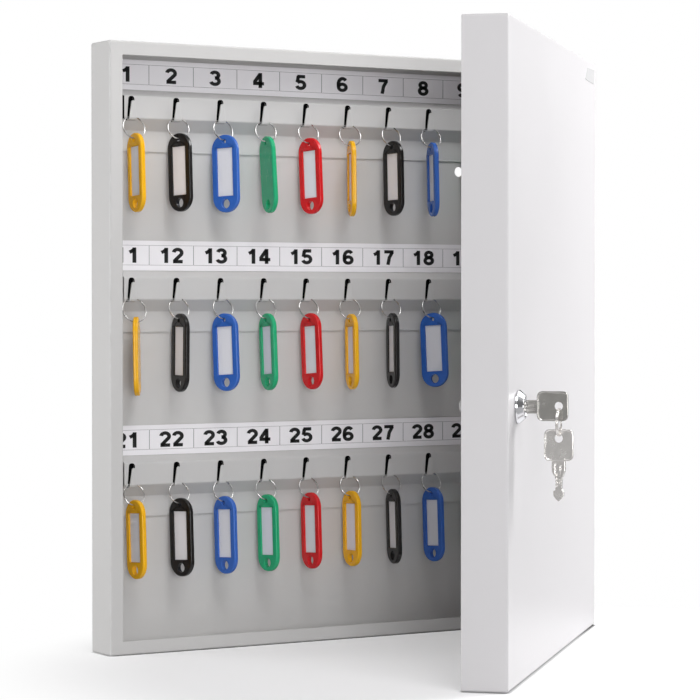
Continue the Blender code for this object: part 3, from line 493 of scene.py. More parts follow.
def makePaper(name, colour, coat):
    # White card or paper with soft fibres, under a thin clear film where coat is above zero
    material, tree, shader = startMaterial(name, {"Roughness": 0.62, "Coat Weight": coat, "Coat Roughness": 0.18, "Specular IOR Level": 0.35})
    fibre = useGroup(tree, fibreGroup, Vector=restPoint(tree))
    darker, lighter = tones(colour, 0.015)
    tree.links.new(mixColour(tree, fibre.outputs["Tone"], darker, lighter), shader.inputs["Base Color"])
    rough = addNode(tree, "ShaderNodeMapRange", Value=fibre.outputs["Tone"], To_Min=0.56, To_Max=0.68)
    tree.links.new(rough.outputs[0], shader.inputs["Roughness"])
    addBump(tree, shader, fibre.outputs["Height"], 0.12, 0.00004)
    return material


def makeInk(name, colour, spread, gloss=0.3):
    # Printed ink, and the near-black painted shade: nearly flat, a touch uneven where the ink soaked in
    material, tree, shader = startMaterial(name, {"Roughness": 0.5, "Specular IOR Level": gloss})
    fibre = useGroup(tree, fibreGroup, Vector=restPoint(tree))
    darker = colour + (1,)
    lighter = tuple(c + spread for c in colour) + (1,)
    tree.links.new(mixColour(tree, fibre.outputs["Tone"], darker, lighter), shader.inputs["Base Color"])
    rough = addNode(tree, "ShaderNodeMapRange", Value=fibre.outputs["Tone"], To_Min=0.45, To_Max=0.6)
    tree.links.new(rough.outputs[0], shader.inputs["Roughness"])
    return material


doorBack = doorPlace.inverted()
bodyLow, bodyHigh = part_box("body_shell")
doorLow = Vector((bodyLow[0], -0.045, 0.0005))
doorHigh = Vector((bodyHigh[0], -0.016, 0.4095))
trayCoat = makeCoat("trayCoat", coatSettings["tray"], Vector(bodyLow), Vector(bodyHigh))
railCoat = makeCoat("railCoat", coatSettings["rail"], Vector(bodyLow), Vector(bodyHigh))
doorCoat = makeCoat("doorCoat", coatSettings["door"], doorLow, doorHigh, doorBack)
cardWhite = makePaper("cardWhite", (0.89, 0.875, 0.905), 0.25)
insertWhite = makePaper("insertWhite", (0.89, 0.895, 0.96), 0.5)
plateGrey = makePaper("plateGrey", (0.50, 0.50, 0.505), 0.3)
inkBlack = makeInk("inkBlack", (0.006, 0.006, 0.006), 0.010)
lineGrey = makeInk("lineGrey", (0.20, 0.20, 0.21), 0.05)
# Near-black and unlit: painted shade for the hook slots and the gap at the top rail's end
shadeDark = makeInk("shadeDark", (0.002, 0.002, 0.002), 0.002, 0.0)
hingeZinc = makeMetal("hingeZinc", metalSettings["hingeZinc"])
lockChrome = makeMetal("lockChrome", metalSettings["lockChrome"], doorBack)
lockZinc = makeMetal("lockZinc", metalSettings["lockZinc"], doorBack)
keyNickel = makeMetal("keyNickel", metalSettings["keyNickel"], doorBack)
darkNickel = makeMetal("darkNickel", metalSettings["darkNickel"], doorBack)
ringSteel = makeMetal("ringSteel", metalSettings["ringSteel"])
tagPlastics = {name: makePlastic("tag" + name.capitalize(), colour) for name, colour in tagColours.items()}

nodeFinishes = {
    "body_shell": trayCoat,
    "door_shell": doorCoat,
    "hook_rail": railCoat,
    "label_card": cardWhite,
    "hinge": hingeZinc,
    "lock_housing": lockChrome,
    "lock_plug": lockChrome,
    "lock_nut": lockZinc,
    "lock_cam": lockZinc,
    "cam_screw": lockZinc,
}
for nodeName, node in frame["nodes"].items():
    for start, finish in nodeFinishes.items():
        if nodeName.startswith(start):
            node.data.materials.clear()
            node.data.materials.append(finish)
print("finishes ready:", len(bpy.data.materials))


# Surfaces from grids

def gridCells(rows, columns, wrapRows, wrapColumns):
    # Each cell of a grid as the numbers of its four corners
    index = np.arange(rows * columns).reshape(rows, columns)
    below = np.roll(index, -1, 0)
    cells = np.stack((index, below, np.roll(below, -1, 1), np.roll(index, -1, 1)), -1)
    cells = cells if wrapRows else cells[:-1]
    cells = cells if wrapColumns else cells[:, :-1]
    return cells.reshape(-1, 4)


def placed(points, place):
    turn = np.array(place.to_3x3())
    return points @ turn.T + np.array(place.translation)


def makePiece(name, surfaces, place, finish, body, replaced=(), sharpAngle=38):
    # Joins grids of points into one mesh. A surface is (grid, rows wrap, columns wrap).
    points, cells, count = [], [], 0
    for grid, wrapRows, wrapColumns in surfaces:
        rows, columns = grid.shape[:2]
        cells.append(gridCells(rows, columns, wrapRows, wrapColumns) + count)
        points.append(grid.reshape(-1, 3))
        count += rows * columns
    mesh = bpy.data.meshes.new(name)
    mesh.from_pydata(placed(np.concatenate(points), place), [], np.concatenate(cells))
    form = bmesh.new()
    form.from_mesh(mesh)
    bmesh.ops.remove_doubles(form, verts=form.verts, dist=0.002 * mm)
    bmesh.ops.recalc_face_normals(form, faces=form.faces)
    form.to_mesh(mesh)
    form.free()
    mesh.shade_smooth()
    mesh.set_sharp_from_angle(angle=math.radians(sharpAngle))
    mesh.materials.append(finish)
    piece = bpy.data.objects.new(name, mesh)
    weights = piece.modifiers.new("flatFaces", "WEIGHTED_NORMAL")
    weights.keep_sharp = True
    scene.collection.objects.link(piece)
    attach(piece, body)
    if replaced:
        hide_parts(*replaced)
    return piece


def circleLoop(centre, radius, count, start=0.0, end=2 * np.pi, closed=True):
    turns = np.linspace(start, end, count, endpoint=not closed)
    return np.stack((centre[0] + radius * np.cos(turns), centre[1] + radius * np.sin(turns)), -1)


def roundedLoop(corners, radius, steps=8):
    # Each corner of a closed polygon eased by a quadratic curve that starts and ends a radius away
    corner = np.array(corners, float)
    before = np.roll(corner, 1, 0) - corner
    after = np.roll(corner, -1, 0) - corner
    before /= np.linalg.norm(before, axis=1, keepdims=True)
    after /= np.linalg.norm(after, axis=1, keepdims=True)
    t = np.linspace(0, 1, steps)[None, :, None]
    first = (corner + before * radius)[:, None]
    last = (corner + after * radius)[:, None]
    loop = (1 - t) ** 2 * first + 2 * t * (1 - t) * corner[:, None] + t ** 2 * last
    return loop.reshape(-1, 2)


def evenLoop(points, count):
    # Points at equal lengths along a closed line
    closed = np.vstack((points, points[:1]))
    length = np.concatenate(([0], np.cumsum(np.hypot(*np.diff(closed, axis=0).T))))
    steps = np.linspace(0, length[-1], count, endpoint=False)
    return np.stack([np.interp(steps, length, closed[:, i]) for i in (0, 1)], -1)


def holeLoop(outer, centre, radius):
    # A circle whose points lie towards the points of the outer loop
    away = outer - np.array(centre)
    return np.array(centre) + radius * away / np.linalg.norm(away, axis=1, keepdims=True)


def plateBetween(inner, outer, profile):
    # Surface between two loops in the XZ plane. Each profile row is (distance from the inner loop,
    # share of the way to the outer loop, distance back from the outer loop, depth along Y).
    span = outer - inner
    length = np.linalg.norm(span, axis=1, keepdims=True)
    toward = span / np.maximum(length, 1e-9)
    row = np.array(profile)[:, None, :]
    flat = inner + toward * row[..., 0:1] + span * row[..., 1:2] - toward * row[..., 2:3]
    depth = np.broadcast_to(row[..., 3], flat.shape[:2])
    return np.stack((flat[..., 0], depth, flat[..., 1]), -1)


def collaredProfile(front, back, innerRound, outerRound, steps=4):
    # A closed profile for plateBetween: flat faces with both edges rounded
    turn = np.linspace(0, np.pi / 2, steps)
    rows = []
    for sign, depth in ((-1, front), (1, back)):
        bend = [(innerRound * (1 - np.sin(a)), 0, 0, depth + sign * -innerRound * (1 - np.cos(a))) for a in turn]
        if sign < 0:
            inner = [(innerRound * (1 - np.cos(a)), 0, 0, depth + innerRound * (1 - np.sin(a))) for a in turn]
            outer = [(0, 1, outerRound * (1 - np.sin(a)), depth + outerRound * (1 - np.cos(a))) for a in turn]
            rows += inner + outer
        else:
            outer = [(0, 1, outerRound * (1 - np.cos(a)), depth - outerRound * (1 - np.sin(a))) for a in turn]
            inner = [(innerRound * (1 - np.sin(a)), 0, 0, depth - innerRound * (1 - np.cos(a))) for a in turn]
            rows += outer + inner
    return rows


def carriedProfile(path, profile):
    # A closed profile of (outward, depth) carried along a closed path in the XZ plane
    ahead = np.roll(path, -1, 0) - np.roll(path, 1, 0)
    ahead /= np.linalg.norm(ahead, axis=1, keepdims=True)
    outward = np.stack((ahead[:, 1], -ahead[:, 0]), -1)
    flat = path[:, None, :] + outward[:, None, :] * profile[None, :, 0:1]
    depth = np.broadcast_to(profile[None, :, 1], flat.shape[:2])
    return np.stack((flat[..., 0], depth, flat[..., 1]), -1)


def turnedProfile(profile, count):
    # A line of (radius, depth) points turned about the Y axis
    turns = np.linspace(0, 2 * np.pi, count, endpoint=False)[:, None]
    radius = profile[None, :, 0]
    depth = np.broadcast_to(profile[None, :, 1], (count, len(profile)))
    return np.stack((radius * np.cos(turns), depth, radius * np.sin(turns)), -1)


def wireAlong(path, radius, sides):
    # A round wire along an open path, drawn in to a point at both ends
    ahead = np.gradient(path, axis=0)
    ahead /= np.linalg.norm(ahead, axis=1, keepdims=True)
    side = np.cross(ahead, np.array((0.0, 1.0, 0.0)))
    side /= np.linalg.norm(side, axis=1, keepdims=True)
    other = np.cross(ahead, side)
    turns = np.linspace(0, 2 * np.pi, sides, endpoint=False)
    size = np.full(len(path), radius)
    size[0] = size[-1] = 0
    ring = side[:, None] * np.cos(turns)[None, :, None] + other[:, None] * np.sin(turns)[None, :, None]
    return path[:, None] + ring * size[:, None, None]


# Tags: a moulded plate with a paper insert, on a split ring

tagSettings = {
    "width": 20.5 * mm, "length": 53.5 * mm, "thickness": 3.5 * mm,
    "top": -10.45 * mm, "ringHole": (-15.15 * mm, 1.45 * mm), "keyHole": (-57.95 * mm, 3.2 * mm),
    "windowWidth": 12.6 * mm, "windowHigh": -19.45 * mm, "windowLow": -52.75 * mm, "windowDepth": 1.5 * mm,
    "border": 2.4 * mm, "edgeRound": 1.05 * mm, "groove": 0.22 * mm,
    "insertGap": 0.2 * mm, "insertThickness": 0.35 * mm,
    "wireSeat": -14.2 * mm, "ringTilt": 20.0, "ringRadius": 7.5 * mm, "coilRadius": 0.29 * mm, "coilRise": 0.46 * mm,
    "wideRings": {1: 8.0 * mm, 6: 8.0 * mm, 11: 8.6 * mm, 16: 7.8 * mm},
    "colours": ("yellow", "black", "blue", "green", "red"),
    "turns": (
        (89, 71, 60, -86, 75, 111, 83, 106, 84, 70),
        (122, 88, 63, 90, 81, 101, 103, 58, 95, 78),
        (83, 72, 75, 79, 83, 88, 98, 81, 74, 92),
    ),
    "leans": (
        (3, 3, 3, 6, 4, 1, 2, 2, 3, 3),
        (2, -1, 4, 4, 4, 2, 1, 4, 3, 2),
        (3, 3, 3, 3, 3, 2, 3, 3, 3, 2),
    ),
    "ringTurns": (
        (0, 8, -4, 8, 6, 8, 0, 8, 3, 0),
        (0, 0, 0, 6, 0, 8, 4, 0, 3, 0),
        (4, 0, 0, 6, 0, 6, 0, 4, 0, 3),
    ),
}


def tagBorder(settings):
    # The rounded outer band: a profile with soft corners and a parting line, carried round a stadium
    half = settings["thickness"] / 2
    radius = settings["width"] / 2 - settings["border"]
    high = settings["top"] - settings["width"] / 2
    low = settings["top"] - settings["length"] + settings["width"] / 2
    upper = circleLoop((0, high), radius, 36, 0, np.pi, False)
    lower = circleLoop((0, low), radius, 36, np.pi, 2 * np.pi, False)
    path = evenLoop(np.vstack((upper, lower)), 132)
    turn = np.linspace(-np.pi / 2, np.pi / 2, 19)
    soft = settings["edgeRound"]
    outward = settings["border"] - soft + soft * np.cos(turn)
    depth = (half - soft) * np.sign(np.sin(turn)) * np.minimum(1, np.abs(np.sin(turn)) * 4) + soft * np.sin(turn)
    outward = outward - settings["groove"] * np.exp(-(depth / (0.16 * mm)) ** 2)
    outside = np.stack((outward, depth), -1)
    inside = np.array(((-0.15 * mm, half), (-0.15 * mm, -half)))
    return carriedProfile(path, np.vstack((outside, inside)))


def tagPlates(settings):
    # Three flat zones inside the band: round the ring hole, round the window, round the key hole
    half = settings["thickness"] / 2 - 0.01 * mm
    reach = settings["width"] / 2 - settings["border"]
    endHigh = settings["top"] - settings["width"] / 2
    endLow = settings["top"] - settings["length"] + settings["width"] / 2
    meetHigh = settings["windowHigh"] + 0.3 * mm
    meetLow = settings["windowLow"] - 0.3 * mm
    soft = 0.35 * mm
    zones = []
    for end, meet, hole, sign in ((endHigh, meetHigh, settings["ringHole"], 1), (endLow, meetLow, settings["keyHole"], -1)):
        arch = circleLoop((0, end), reach, 40, 0, np.pi * sign, False)
        feet = np.array(((-reach, meet), (reach, meet)))
        outline = evenLoop(np.vstack((arch, feet)), 120)
        zones.append(plateBetween(holeLoop(outline, (0, hole[0]), hole[1]), outline, collaredProfile(-half, half, soft, 0.0)))
    side = settings["windowWidth"] / 2
    window = ((-side, settings["windowLow"]), (side, settings["windowLow"]), (side, settings["windowHigh"]), (-side, settings["windowHigh"]))
    around = ((-reach, meetLow), (reach, meetLow), (reach, meetHigh), (-reach, meetHigh))
    zones.append(plateBetween(roundedLoop(window, 0.3 * mm, 5), roundedLoop(around, 0.02 * mm, 5), collaredProfile(-half, half, 0.12 * mm, 0.0)))
    floor = roundedLoop([(x * 1.02, z) for x, z in window], 0.1 * mm, 5)
    middle = np.tile(np.array(((0.0, (settings["windowLow"] + settings["windowHigh"]) / 2),)), (len(floor), 1))
    front = -half + settings["windowDepth"]
    zones.append(plateBetween(middle, floor, [(0, 0, 0, front), (0, 1, 0, front), (0, 1, 0, half), (0, 0, 0, half)]))
    return zones


def insertSheet(settings):
    # The paper: a thin panel, bowed out a little in the middle
    side = settings["windowWidth"] / 2 - settings["insertGap"]
    low = settings["windowLow"] + settings["insertGap"]
    high = settings["windowHigh"] - settings["insertGap"]
    across = np.linspace(-side, side, 14)[None, :]
    along = np.linspace(low, high, 30)[:, None]
    back = -settings["thickness"] / 2 + settings["windowDepth"] - 0.01 * mm
    bow = 0.15 * mm * np.cos(np.pi * across / (2 * side)) * np.cos(np.pi * (along - (low + high) / 2) / (high - low)) ** 0.5
    front = back - settings["insertThickness"] - np.nan_to_num(bow)
    flatX = np.broadcast_to(across, front.shape)
    flatZ = np.broadcast_to(along, front.shape)
    face = np.stack((flatX, front, flatZ), -1)
    behind = np.stack((flatX, np.full(front.shape, back), flatZ), -1)[:, ::-1]
    return np.concatenate((face, behind), 1)


def splitRing(settings, radius):
    # Two turns of wire side by side: a circle whose depth steps over once a turn
    turns = np.linspace(0, 4 * np.pi - 0.35, 150) + 2.3
    step = turns - 2.3
    depth = settings["coilRise"] * (1 / (1 + np.exp(-(step - 2 * np.pi) * 3.0)) - 0.5)
    return np.stack((radius * np.cos(turns), depth, radius * np.sin(turns) - radius), -1)


def makeTags(settings):
    band = (tagBorder(settings), True, True)
    plates = [(zone, True, True) for zone in tagPlates(settings)[:3]]
    floor = (tagPlates(settings)[3], False, True)
    sheet = (insertSheet(settings), False, True)
    number = 0
    for row, turns in enumerate(settings["turns"]):
        for column, turn in enumerate(turns):
            number += 1
            node = "tag_" + str(number).zfill(2)
            centre = Matrix.Translation(joints[node + "_swing"]["pos_m"])
            radius = settings["wideRings"].get(number, settings["ringRadius"])
            ring = (wireAlong(splitRing(settings, radius), settings["coilRadius"], 8), False, True)
            ringTurn = Matrix.Rotation(-math.radians(settings["ringTurns"][row][column]), 4, "Z")
            hung = centre @ ringTurn @ Matrix.Rotation(-math.radians(settings["ringTilt"]), 4, "X")
            seat = Matrix.Translation(hung @ Vector((0, 0, -2 * radius)))
            lean = Matrix.Rotation(-math.radians(settings["leans"][row][column]), 4, "X")
            drop = Matrix.Translation((0, 0, -settings["wireSeat"]))
            turned = seat @ lean @ Matrix.Rotation(-math.radians(turn), 4, "Z") @ drop
            colour = settings["colours"][column % len(settings["colours"])]
            makePiece(node + "_plate", [band] + plates + [floor], turned, tagPlastics[colour], node, (node,))
            makePiece(node + "_insert", [sheet], turned, insertWhite, node)
            makePiece(node + "_ring", [ring], hung, ringSteel, node)


makeTags(tagSettings)
print("tags ready")


# Painted shade: dark plates close behind the hooks' slots, where no light reaches

slotSettings = {
    "rise": 13.35 * mm, "drop": 14.6 * mm, "topWidth": 3.5 * mm, "bottomWidth": 5.6 * mm, "margin": 1.2 * mm, "behind": 1.86 * mm, "thickness": 0.3 * mm, "columns": 10,
    "face": 1.0 * mm, "edge": 0.36 * mm, "overlap": 0.4 * mm, "edgeThickness": 0.05 * mm,
    "edgeTop": 0.6 * mm,
    "gapLeft": -9.4 * mm, "gapRight": -5.3 * mm, "gapHigh": 14.1 * mm, "gapLow": -1.5 * mm,
}


def makeSlotBacks(settings):
    # Each back is a rounded plate between its middle and an outline a little larger than the slot
    top, low = settings["rise"] + settings["margin"], settings["rise"] - settings["drop"] - settings["margin"]
    topHalf = settings["topWidth"] / 2 + settings["margin"]
    lowHalf = settings["bottomWidth"] / 2 + settings["margin"]
    outline = roundedLoop(((-lowHalf, low), (lowHalf, low), (topHalf, top), (-topHalf, top)), settings["margin"], 5)
    middle = np.tile(outline.mean(0), (len(outline), 1))
    front, back = settings["behind"], settings["behind"] + settings["thickness"]
    profile = [(0, 0, 0, front), (0, 1, 0, front), (0, 1, 0, back), (0, 0, 0, back)]
    plate = plateBetween(middle, outline, profile)

    # A painted shadow line close round each slot: flat, between the slot's own outline and a wider one
    top, low, edge = settings["rise"], settings["rise"] - settings["drop"], settings["edge"]
    topHalf, lowHalf = settings["topWidth"] / 2, settings["bottomWidth"] / 2
    over = settings["overlap"]
    inner = ((-lowHalf + over, low), (lowHalf - over, low), (topHalf - over, top - over), (over - topHalf, top - over))
    inner = roundedLoop(inner, topHalf - over, 9)
    high = top + settings["edgeTop"]
    wide = ((-lowHalf - edge, low), (lowHalf + edge, low), (topHalf + edge, high), (-topHalf - edge, high))
    outer = roundedLoop(wide, topHalf + edge, 9)
    face, near = settings["face"], settings["face"] - settings["edgeThickness"]
    rim = plateBetween(inner, outer, [(0, 0, 0, near), (0, 1, 0, near), (0, 1, 0, face), (0, 0, 0, face)])
    for rowNumber, row in enumerate(("top", "middle", "bottom")):
        tags = ["tag_" + str(rowNumber * settings["columns"] + i + 1).zfill(2) for i in range(settings["columns"])]
        backs = [(plate + np.array(joints[tag + "_swing"]["pos_m"]), False, True) for tag in tags]
        backs += [(rim + np.array(joints[tag + "_swing"]["pos_m"]), True, True) for tag in tags]
        # On the top row, a painted shadow gap: a dark strip a little left of the first hook, near the rail's left end
        if row == "top":
            start = np.array(joints[tags[0] + "_swing"]["pos_m"])
            left, right = settings["gapLeft"], settings["gapRight"]
            corners = ((left, settings["gapLow"]), (right, settings["gapLow"]), (right, settings["gapHigh"]), (left, settings["gapHigh"]))
            outline = roundedLoop(corners, 0.1 * mm, 5)
            middle = np.tile(outline.mean(0), (len(outline), 1))
            gap = plateBetween(middle, outline, [(0, 0, 0, near), (0, 1, 0, near), (0, 1, 0, face), (0, 0, 0, face)])
            backs.append((gap + start, False, True))
        makePiece("slot_backs_" + row, backs, Matrix(), shadeDark, "cabinet")


makeSlotBacks(slotSettings)


# Printed numbers and cell lines on the three cards

cardSettings = {
    "digitHeight": 10.4 * mm, "digitStretch": 1.24, "stroke": 0.225, "digitWidth": 0.70, "advance": 0.765, "middle": 15.9 * mm,
    "cellLow": 9.2 * mm, "cellHigh": 22.6 * mm, "lineWidth": 0.42 * mm, "print": 0.03 * mm,
    "columns": 10, "rows": ("top", "middle", "bottom"),
}


def bend(centre, reach, start, end, count=22):
    # Part of an ellipse, from one angle to another in degrees
    turns = np.radians(np.linspace(start, end, count))
    return np.stack((centre[0] + reach[0] * np.cos(turns), centre[1] + reach[1] * np.sin(turns)), -1)


def digitStrokes():
    # The middle lines of bold upright digits, one unit tall: (points, whether they close)
    line = np.array
    six = [
        (bend((0.35, 0.31), (0.24, 0.21), 0, 360, 41)[:-1], True),
        (np.vstack((bend((0.37, 0.52), (0.27, 0.38), 42, 180), line([(0.105, 0.33)]))), False),
    ]
    return {
        "0": [(bend((0.35, 0.5), (0.25, 0.4), 0, 360, 49)[:-1], True)],
        "1": [(line([(0.42, 0.0), (0.42, 1.0)]), False), (line([(0.40, 0.88), (0.28, 0.76), (0.13, 0.69)]), False)],
        "2": [
            (np.vstack((bend((0.34, 0.68), (0.24, 0.22), 172, -28), line([(0.13, 0.12)]))), False),
            (line([(0.06, 0.1), (0.64, 0.1)]), False),
        ],
        "3": [(bend((0.33, 0.71), (0.22, 0.19), 165, -90), False), (bend((0.33, 0.31), (0.25, 0.21), 90, -165), False)],
        "4": [
            (line([(0.47, 0.0), (0.47, 1.0)]), False),
            (line([(0.44, 0.90), (0.10, 0.36)]), False),
            (line([(0.02, 0.29), (0.70, 0.29)]), False),
        ],
        "5": [
            (line([(0.13, 0.9), (0.63, 0.9)]), False),
            (line([(0.20, 0.92), (0.13, 0.50)]), False),
            (bend((0.34, 0.33), (0.25, 0.23), 142, -162), False),
        ],
        "6": six,
        "7": [(line([(0.05, 0.9), (0.66, 0.9)]), False), (line([(0.58, 0.88), (0.38, 0.50), (0.29, 0.0)]), False)],
        "8": [(bend((0.35, 0.72), (0.205, 0.18), 0, 360, 41)[:-1], True), (bend((0.35, 0.31), (0.245, 0.21), 0, 360, 41)[:-1], True)],
        "9": [(line((0.70, 1.0)) - points, closed) for points, closed in six],
    }


def inkStroke(path, closed, width, thickness, stretch):
    # A flat band carried along a line, then stretched sideways; an open band ends square
    ahead = np.roll(path, -1, 0) - np.roll(path, 1, 0) if closed else np.gradient(path, axis=0)
    ahead /= np.linalg.norm(ahead, axis=1, keepdims=True)
    side = np.stack((-ahead[:, 1], ahead[:, 0]), -1) * width / 2
    corners = np.stack((path + side, path + side, path - side, path - side), 1) * np.array((stretch, 1))
    depth = np.broadcast_to(np.array((-1, 1, 1, -1)) * thickness / 2, corners.shape[:2])
    grid = np.stack((corners[..., 0], depth, corners[..., 1]), -1)
    if closed:
        return grid, True, True
    caps = [np.broadcast_to(grid[i].mean(0), (1, 4, 3)) for i in (0, -1)]
    return np.concatenate((caps[0], grid, caps[1])), False, True


def numberSurfaces(words, place, settings):
    # A number about its middle: its digits side by side
    scale, stretch = settings["digitHeight"], settings["digitStretch"]
    strokes = digitStrokes()
    start = -(settings["advance"] * (len(words) - 1) + settings["digitWidth"]) / 2
    surfaces = []
    for i, digit in enumerate(words):
        for path, closed in strokes[digit]:
            moved = path + np.array((start + settings["advance"] * i, -0.5))
            grid, wrapRows, wrapColumns = inkStroke(moved, closed, settings["stroke"], settings["print"] / scale, stretch)
            surfaces.append((grid * scale + place, wrapRows, wrapColumns))
    return surfaces


def makeCards(settings):
    # Column middles come from the tags' joints, the row from its card
    line = settings["lineWidth"] / 2
    box = np.array(((-line / 2, -settings["print"] / 2), (line / 2, -settings["print"] / 2), (line / 2, settings["print"] / 2), (-line / 2, settings["print"] / 2)))
    for rowNumber, row in enumerate(settings["rows"]):
        low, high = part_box("label_card_" + row)
        slotTop = low[2] - 5.5 * mm
        front = low[1] - settings["print"] / 2
        centres = [joints["tag_" + str(rowNumber * 10 + i + 1).zfill(2) + "_swing"]["pos_m"][0] for i in range(settings["columns"])]
        pitch = centres[1] - centres[0]
        numbers, frames = [], []
        for i, centre in enumerate(centres):
            numbers += numberSurfaces(str(rowNumber * 10 + i + 1), np.array((centre, 0, slotTop + settings["middle"])), settings)
            left, right = centre - pitch / 2 + line / 2, centre + pitch / 2 - line / 2
            bottom, top = slotTop + settings["cellLow"], slotTop + settings["cellHigh"]
            cell = np.array(((left, bottom), (left, top), (right, top), (right, bottom)))
            frames.append((carriedProfile(roundedLoop(cell, 0.3 * mm, 4), box), True, True))
        makePiece("numbers_" + row, numbers, Matrix.Translation((0, front, 0)), inkBlack, "cabinet")
        makePiece("card_lines_" + row, frames, Matrix.Translation((0, front, 0)), lineGrey, "cabinet")


makeCards(cardSettings)
print("cards ready")


# Cam lock: bezel and keys, drawn about the lock's axis with the door's face at zero

bezelSettings = {
    "radius": 10.35 * mm, "faceRadius": 7.5 * mm, "height": 5.0 * mm, "rim": 1.5 * mm,
    "bore": 6.0 * mm, "barrel": 9.0 * mm, "barrelEnd": 31.0 * mm, "soft": 0.35 * mm, "near": 0.3 * mm,
}


def makeBezel(settings):
    # Turned chrome: a low cone with a rounded rim, and the threaded barrel behind it
    soft = settings["soft"]
    turn = np.linspace(0, np.pi / 2, 6)
    thread = np.linspace(settings["near"] + 3 * mm, settings["barrelEnd"] - 0.6 * mm, 181)
    profile = [(settings["bore"], -settings["height"] + soft)]
    profile += [(settings["bore"] + soft * (1 - np.cos(a)), -settings["height"] + soft * (1 - np.sin(a))) for a in turn[1:]]
    profile += [(settings["faceRadius"] - soft * (1 - np.sin(a)), -settings["height"] + soft * (1 - np.cos(a))) for a in turn]
    profile += [(settings["radius"] - soft * (1 - np.cos(np.pi / 2 - a)), -settings["rim"] - soft * np.sin(np.pi / 2 - a) * 0.4) for a in turn[::-1]]
    profile += [(settings["radius"], -settings["near"] - 0.1 * mm), (settings["radius"] - 0.15 * mm, -settings["near"])]
    profile += [(settings["barrel"], -settings["near"]), (settings["barrel"], settings["near"] + 2.6 * mm)]
    profile += [(settings["barrel"] - 0.25 * mm + 0.25 * mm * np.cos((z - thread[0]) / (1 * mm) * 2 * np.pi), z) for z in thread]
    profile += [(settings["barrel"] - 0.5 * mm, settings["barrelEnd"]), (settings["bore"], settings["barrelEnd"])]
    surface = turnedProfile(np.array(profile), 96)
    makePiece("lock_bezel", [(surface, True, True)], lockPlace, lockChrome, "door", ("lock_housing",), 30)


makeBezel(bezelSettings)

keySettings = {
    "web": 1.25 * mm, "rim": 2.1 * mm, "rimWidth": 1.0 * mm, "soft": 0.3 * mm, "hole": 2.55 * mm, "corner": 3.4 * mm,
    "doorBow": ((-31.3, -8.65), (-12.0, 9.65)), "doorHole": (-25.5, 0.5),
    "doorNeck": ((-12.6, 4.2), (-5.7, 4.2), (-5.6, 3.1), (13.9, 3.1), (15.4, 0.3)),
    "spareBow": (18.1, 19.4), "spareHole": -19.7, "spareTop": -14.1,
    "spareShank": ((17.6, 4.3), (25.6, 4.3), (26.4, 4.0), (30.3, 2.3), (36.5, 2.3), (38.2, 3.4), (40.6, 3.35), (42.6, 1.9), (44.0, 0.25)),
}


def keyBow(low, high, hole, settings):
    # The bow: a thin web with a hole, inside a raised rim with soft edges
    corners = ((low[0], low[1]), (high[0], low[1]), (high[0], high[1]), (low[0], high[1]))
    outline = evenLoop(roundedLoop(corners, settings["corner"] * 1.15, 14), 144)
    web, rim, soft, wide = settings["web"] / 2, settings["rim"] / 2, settings["soft"], settings["rimWidth"]
    front = [
        (0, 0, 0, 0), (0, 0, 0, -web + 0.15 * mm), (0.15 * mm, 0, 0, -web), (0.3 * mm, 0, 0, -web), (0, 1, wide + soft + 0.1 * mm, -web), (0, 1, wide + soft, -web),
        (0, 1, wide + soft * 0.5, -web - (rim - web) * 0.15), (0, 1, wide - soft * 0.5, -rim + (rim - web) * 0.15), (0, 1, wide - soft, -rim),
        (0, 1, soft, -rim), (0, 1, soft * 0.3, -rim + soft * 0.3), (0, 1, 0, -rim + soft),
    ]
    back = [(a, b, c, -d) for a, b, c, d in front[::-1]][:-1]
    return plateBetween(holeLoop(outline, hole, settings["hole"]), outline, front + back)


def keyBlade(stations, widths, thickness, grooves, teeth):
    # A shank along X: at each station a flat section with milled grooves, its height from the widths.
    # grooves are (middle as a share of the half height, depth, start, end); teeth are (start, end, pitch, depth).
    height = np.interp(stations, *np.array(widths).T)
    share = np.concatenate((np.linspace(-1, 1, 41), np.linspace(1, -1, 41)))
    side = np.repeat((1.0, -1.0), 41)
    ease = 1 - 0.35 * np.clip((np.abs(share) - 0.86) / 0.14, 0, 1) ** 2
    half = np.broadcast_to(thickness / 2 * ease, (len(stations), 82)).copy()
    for middle, depth, start, end in grooves:
        along = np.clip((stations - start) / 0.6e-3, 0, 1) * np.clip((end - stations) / 0.6e-3, 0, 1)
        across = np.clip(1.6 - np.abs(share - middle) / 0.11, 0, 1)
        half -= depth * along[:, None] * across[None, :]
    top = height.copy()
    for start, end, pitch, depth in teeth:
        inside = (stations > start) & (stations < end)
        wave = np.abs(((stations - start) / pitch) % 1 - 0.5) * 2
        top -= np.where(inside, depth * np.clip(1.35 * wave, 0, 1), 0)
    level = np.where(share > 0, share * top[:, None], share * height[:, None])
    grid = np.stack((np.broadcast_to(stations[:, None], level.shape), side * half, level), -1)
    ends = [np.broadcast_to(grid[i].mean(0), (1, 82, 3)) for i in (0, -1)]
    return np.concatenate((ends[0], grid, ends[1]), 0)


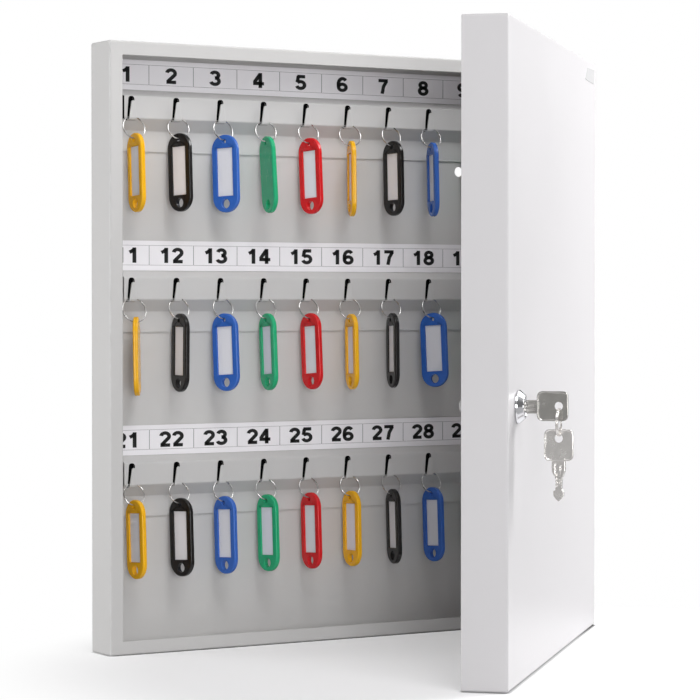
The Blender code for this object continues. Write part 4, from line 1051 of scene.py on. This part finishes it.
def makeKeys(settings):
    # Loops are drawn in the XZ plane and turned a quarter, so that X becomes the lock's depth
    quarter = Matrix.Rotation(math.pi / 2, 4, "Z")
    low, high = (np.array(corner) * mm for corner in settings["doorBow"])
    bow = keyBow(low, high, np.array(settings["doorHole"]) * mm, settings)
    stations = np.linspace(-12.6 * mm, 15.4 * mm, 240)
    grooves = ((-0.35, 0.35 * mm, -11.0 * mm, 15.0 * mm), (0.25, 0.35 * mm, -11.0 * mm, 15.0 * mm))
    teeth = ((-2.0 * mm, 14.0 * mm, 2.6 * mm, 1.2 * mm),)
    blade = keyBlade(stations, np.array(settings["doorNeck"]) * mm, settings["rim"] * 0.92, grooves, teeth)
    makePiece("door_key_cut", [(bow, True, True), (blade, False, True)], lockPlace @ quarter, darkNickel, "inserted_key", ("door_key",))

    width, height = (size * mm for size in settings["spareBow"])
    top = settings["spareTop"] * mm
    bow = keyBow((-width / 2, top - height), (width / 2, top), (0, settings["spareHole"] * mm), settings)
    stations = np.linspace(17.6 * mm, 44.0 * mm, 240)
    grooves = ((-0.38, 0.4 * mm, 22.0 * mm, 33.0 * mm), (0.38, 0.4 * mm, 20.5 * mm, 35.0 * mm))
    teeth = ((28.5 * mm, 37.5 * mm, 2.2 * mm, 0.7 * mm),)
    shank = keyBlade(stations, np.array(settings["spareShank"]) * mm, settings["rim"] * 0.92, grooves, teeth)
    shank = np.stack((shank[..., 2], shank[..., 1], top - shank[..., 0]), -1)
    makePiece("spare_key_cut", [(bow, True, True), (shank, False, True)], swingPlace @ quarter, keyNickel, "spare_set", ("spare_key",))


makeKeys(keySettings)

linkSettings = {"radius": 8.3 * mm, "wire": 0.55 * mm, "rise": 0.85 * mm, "rest": 1.55 * mm}


def makeLink(settings):
    # The split ring through both bows: two turns of wire, as on the tags
    turns = np.linspace(0, 4 * np.pi - 0.4, 170)
    depth = settings["rise"] * (1 / (1 + np.exp(-(turns - 2 * np.pi) * 3.0)) - 0.5)
    radius = settings["radius"]
    path = np.stack((radius * np.cos(turns), depth, radius * np.sin(turns) - radius - settings["rest"]), -1)
    makePiece("link_ring", [(wireAlong(path, settings["wire"], 10), False, True)], swingPlace, keyNickel, "spare_set", ("key_ring",))


makeLink(linkSettings)
print("lock and keys ready")


# Plain plate near the door's top corner on the hinge side

plateSettings = {"corners": ((129.9, 394.6), (170.4, 393.9), (172.8, 404.4), (139.5, 403.4)), "face": -45.0, "thickness": 0.3, "corner": 0.8}


def makePlate(settings):
    # A thin panel between its middle and a rounded outline, with a soft front edge
    outline = evenLoop(roundedLoop(np.array(settings["corners"]) * mm, settings["corner"] * mm, 8), 96)
    middle = np.tile(outline.mean(0), (len(outline), 1))
    face, front = settings["face"] * mm, (settings["face"] - settings["thickness"]) * mm
    profile = [(0, 0, 0, front), (0, 1, 0.12 * mm, front), (0, 1, 0, front + 0.12 * mm), (0, 1, 0, face), (0, 0, 0, face)]
    makePiece("door_plain_plate", [(plateBetween(middle, outline, profile), False, True)], doorPlace, plateGrey, "door")


makePlate(plateSettings)
print("plate ready")
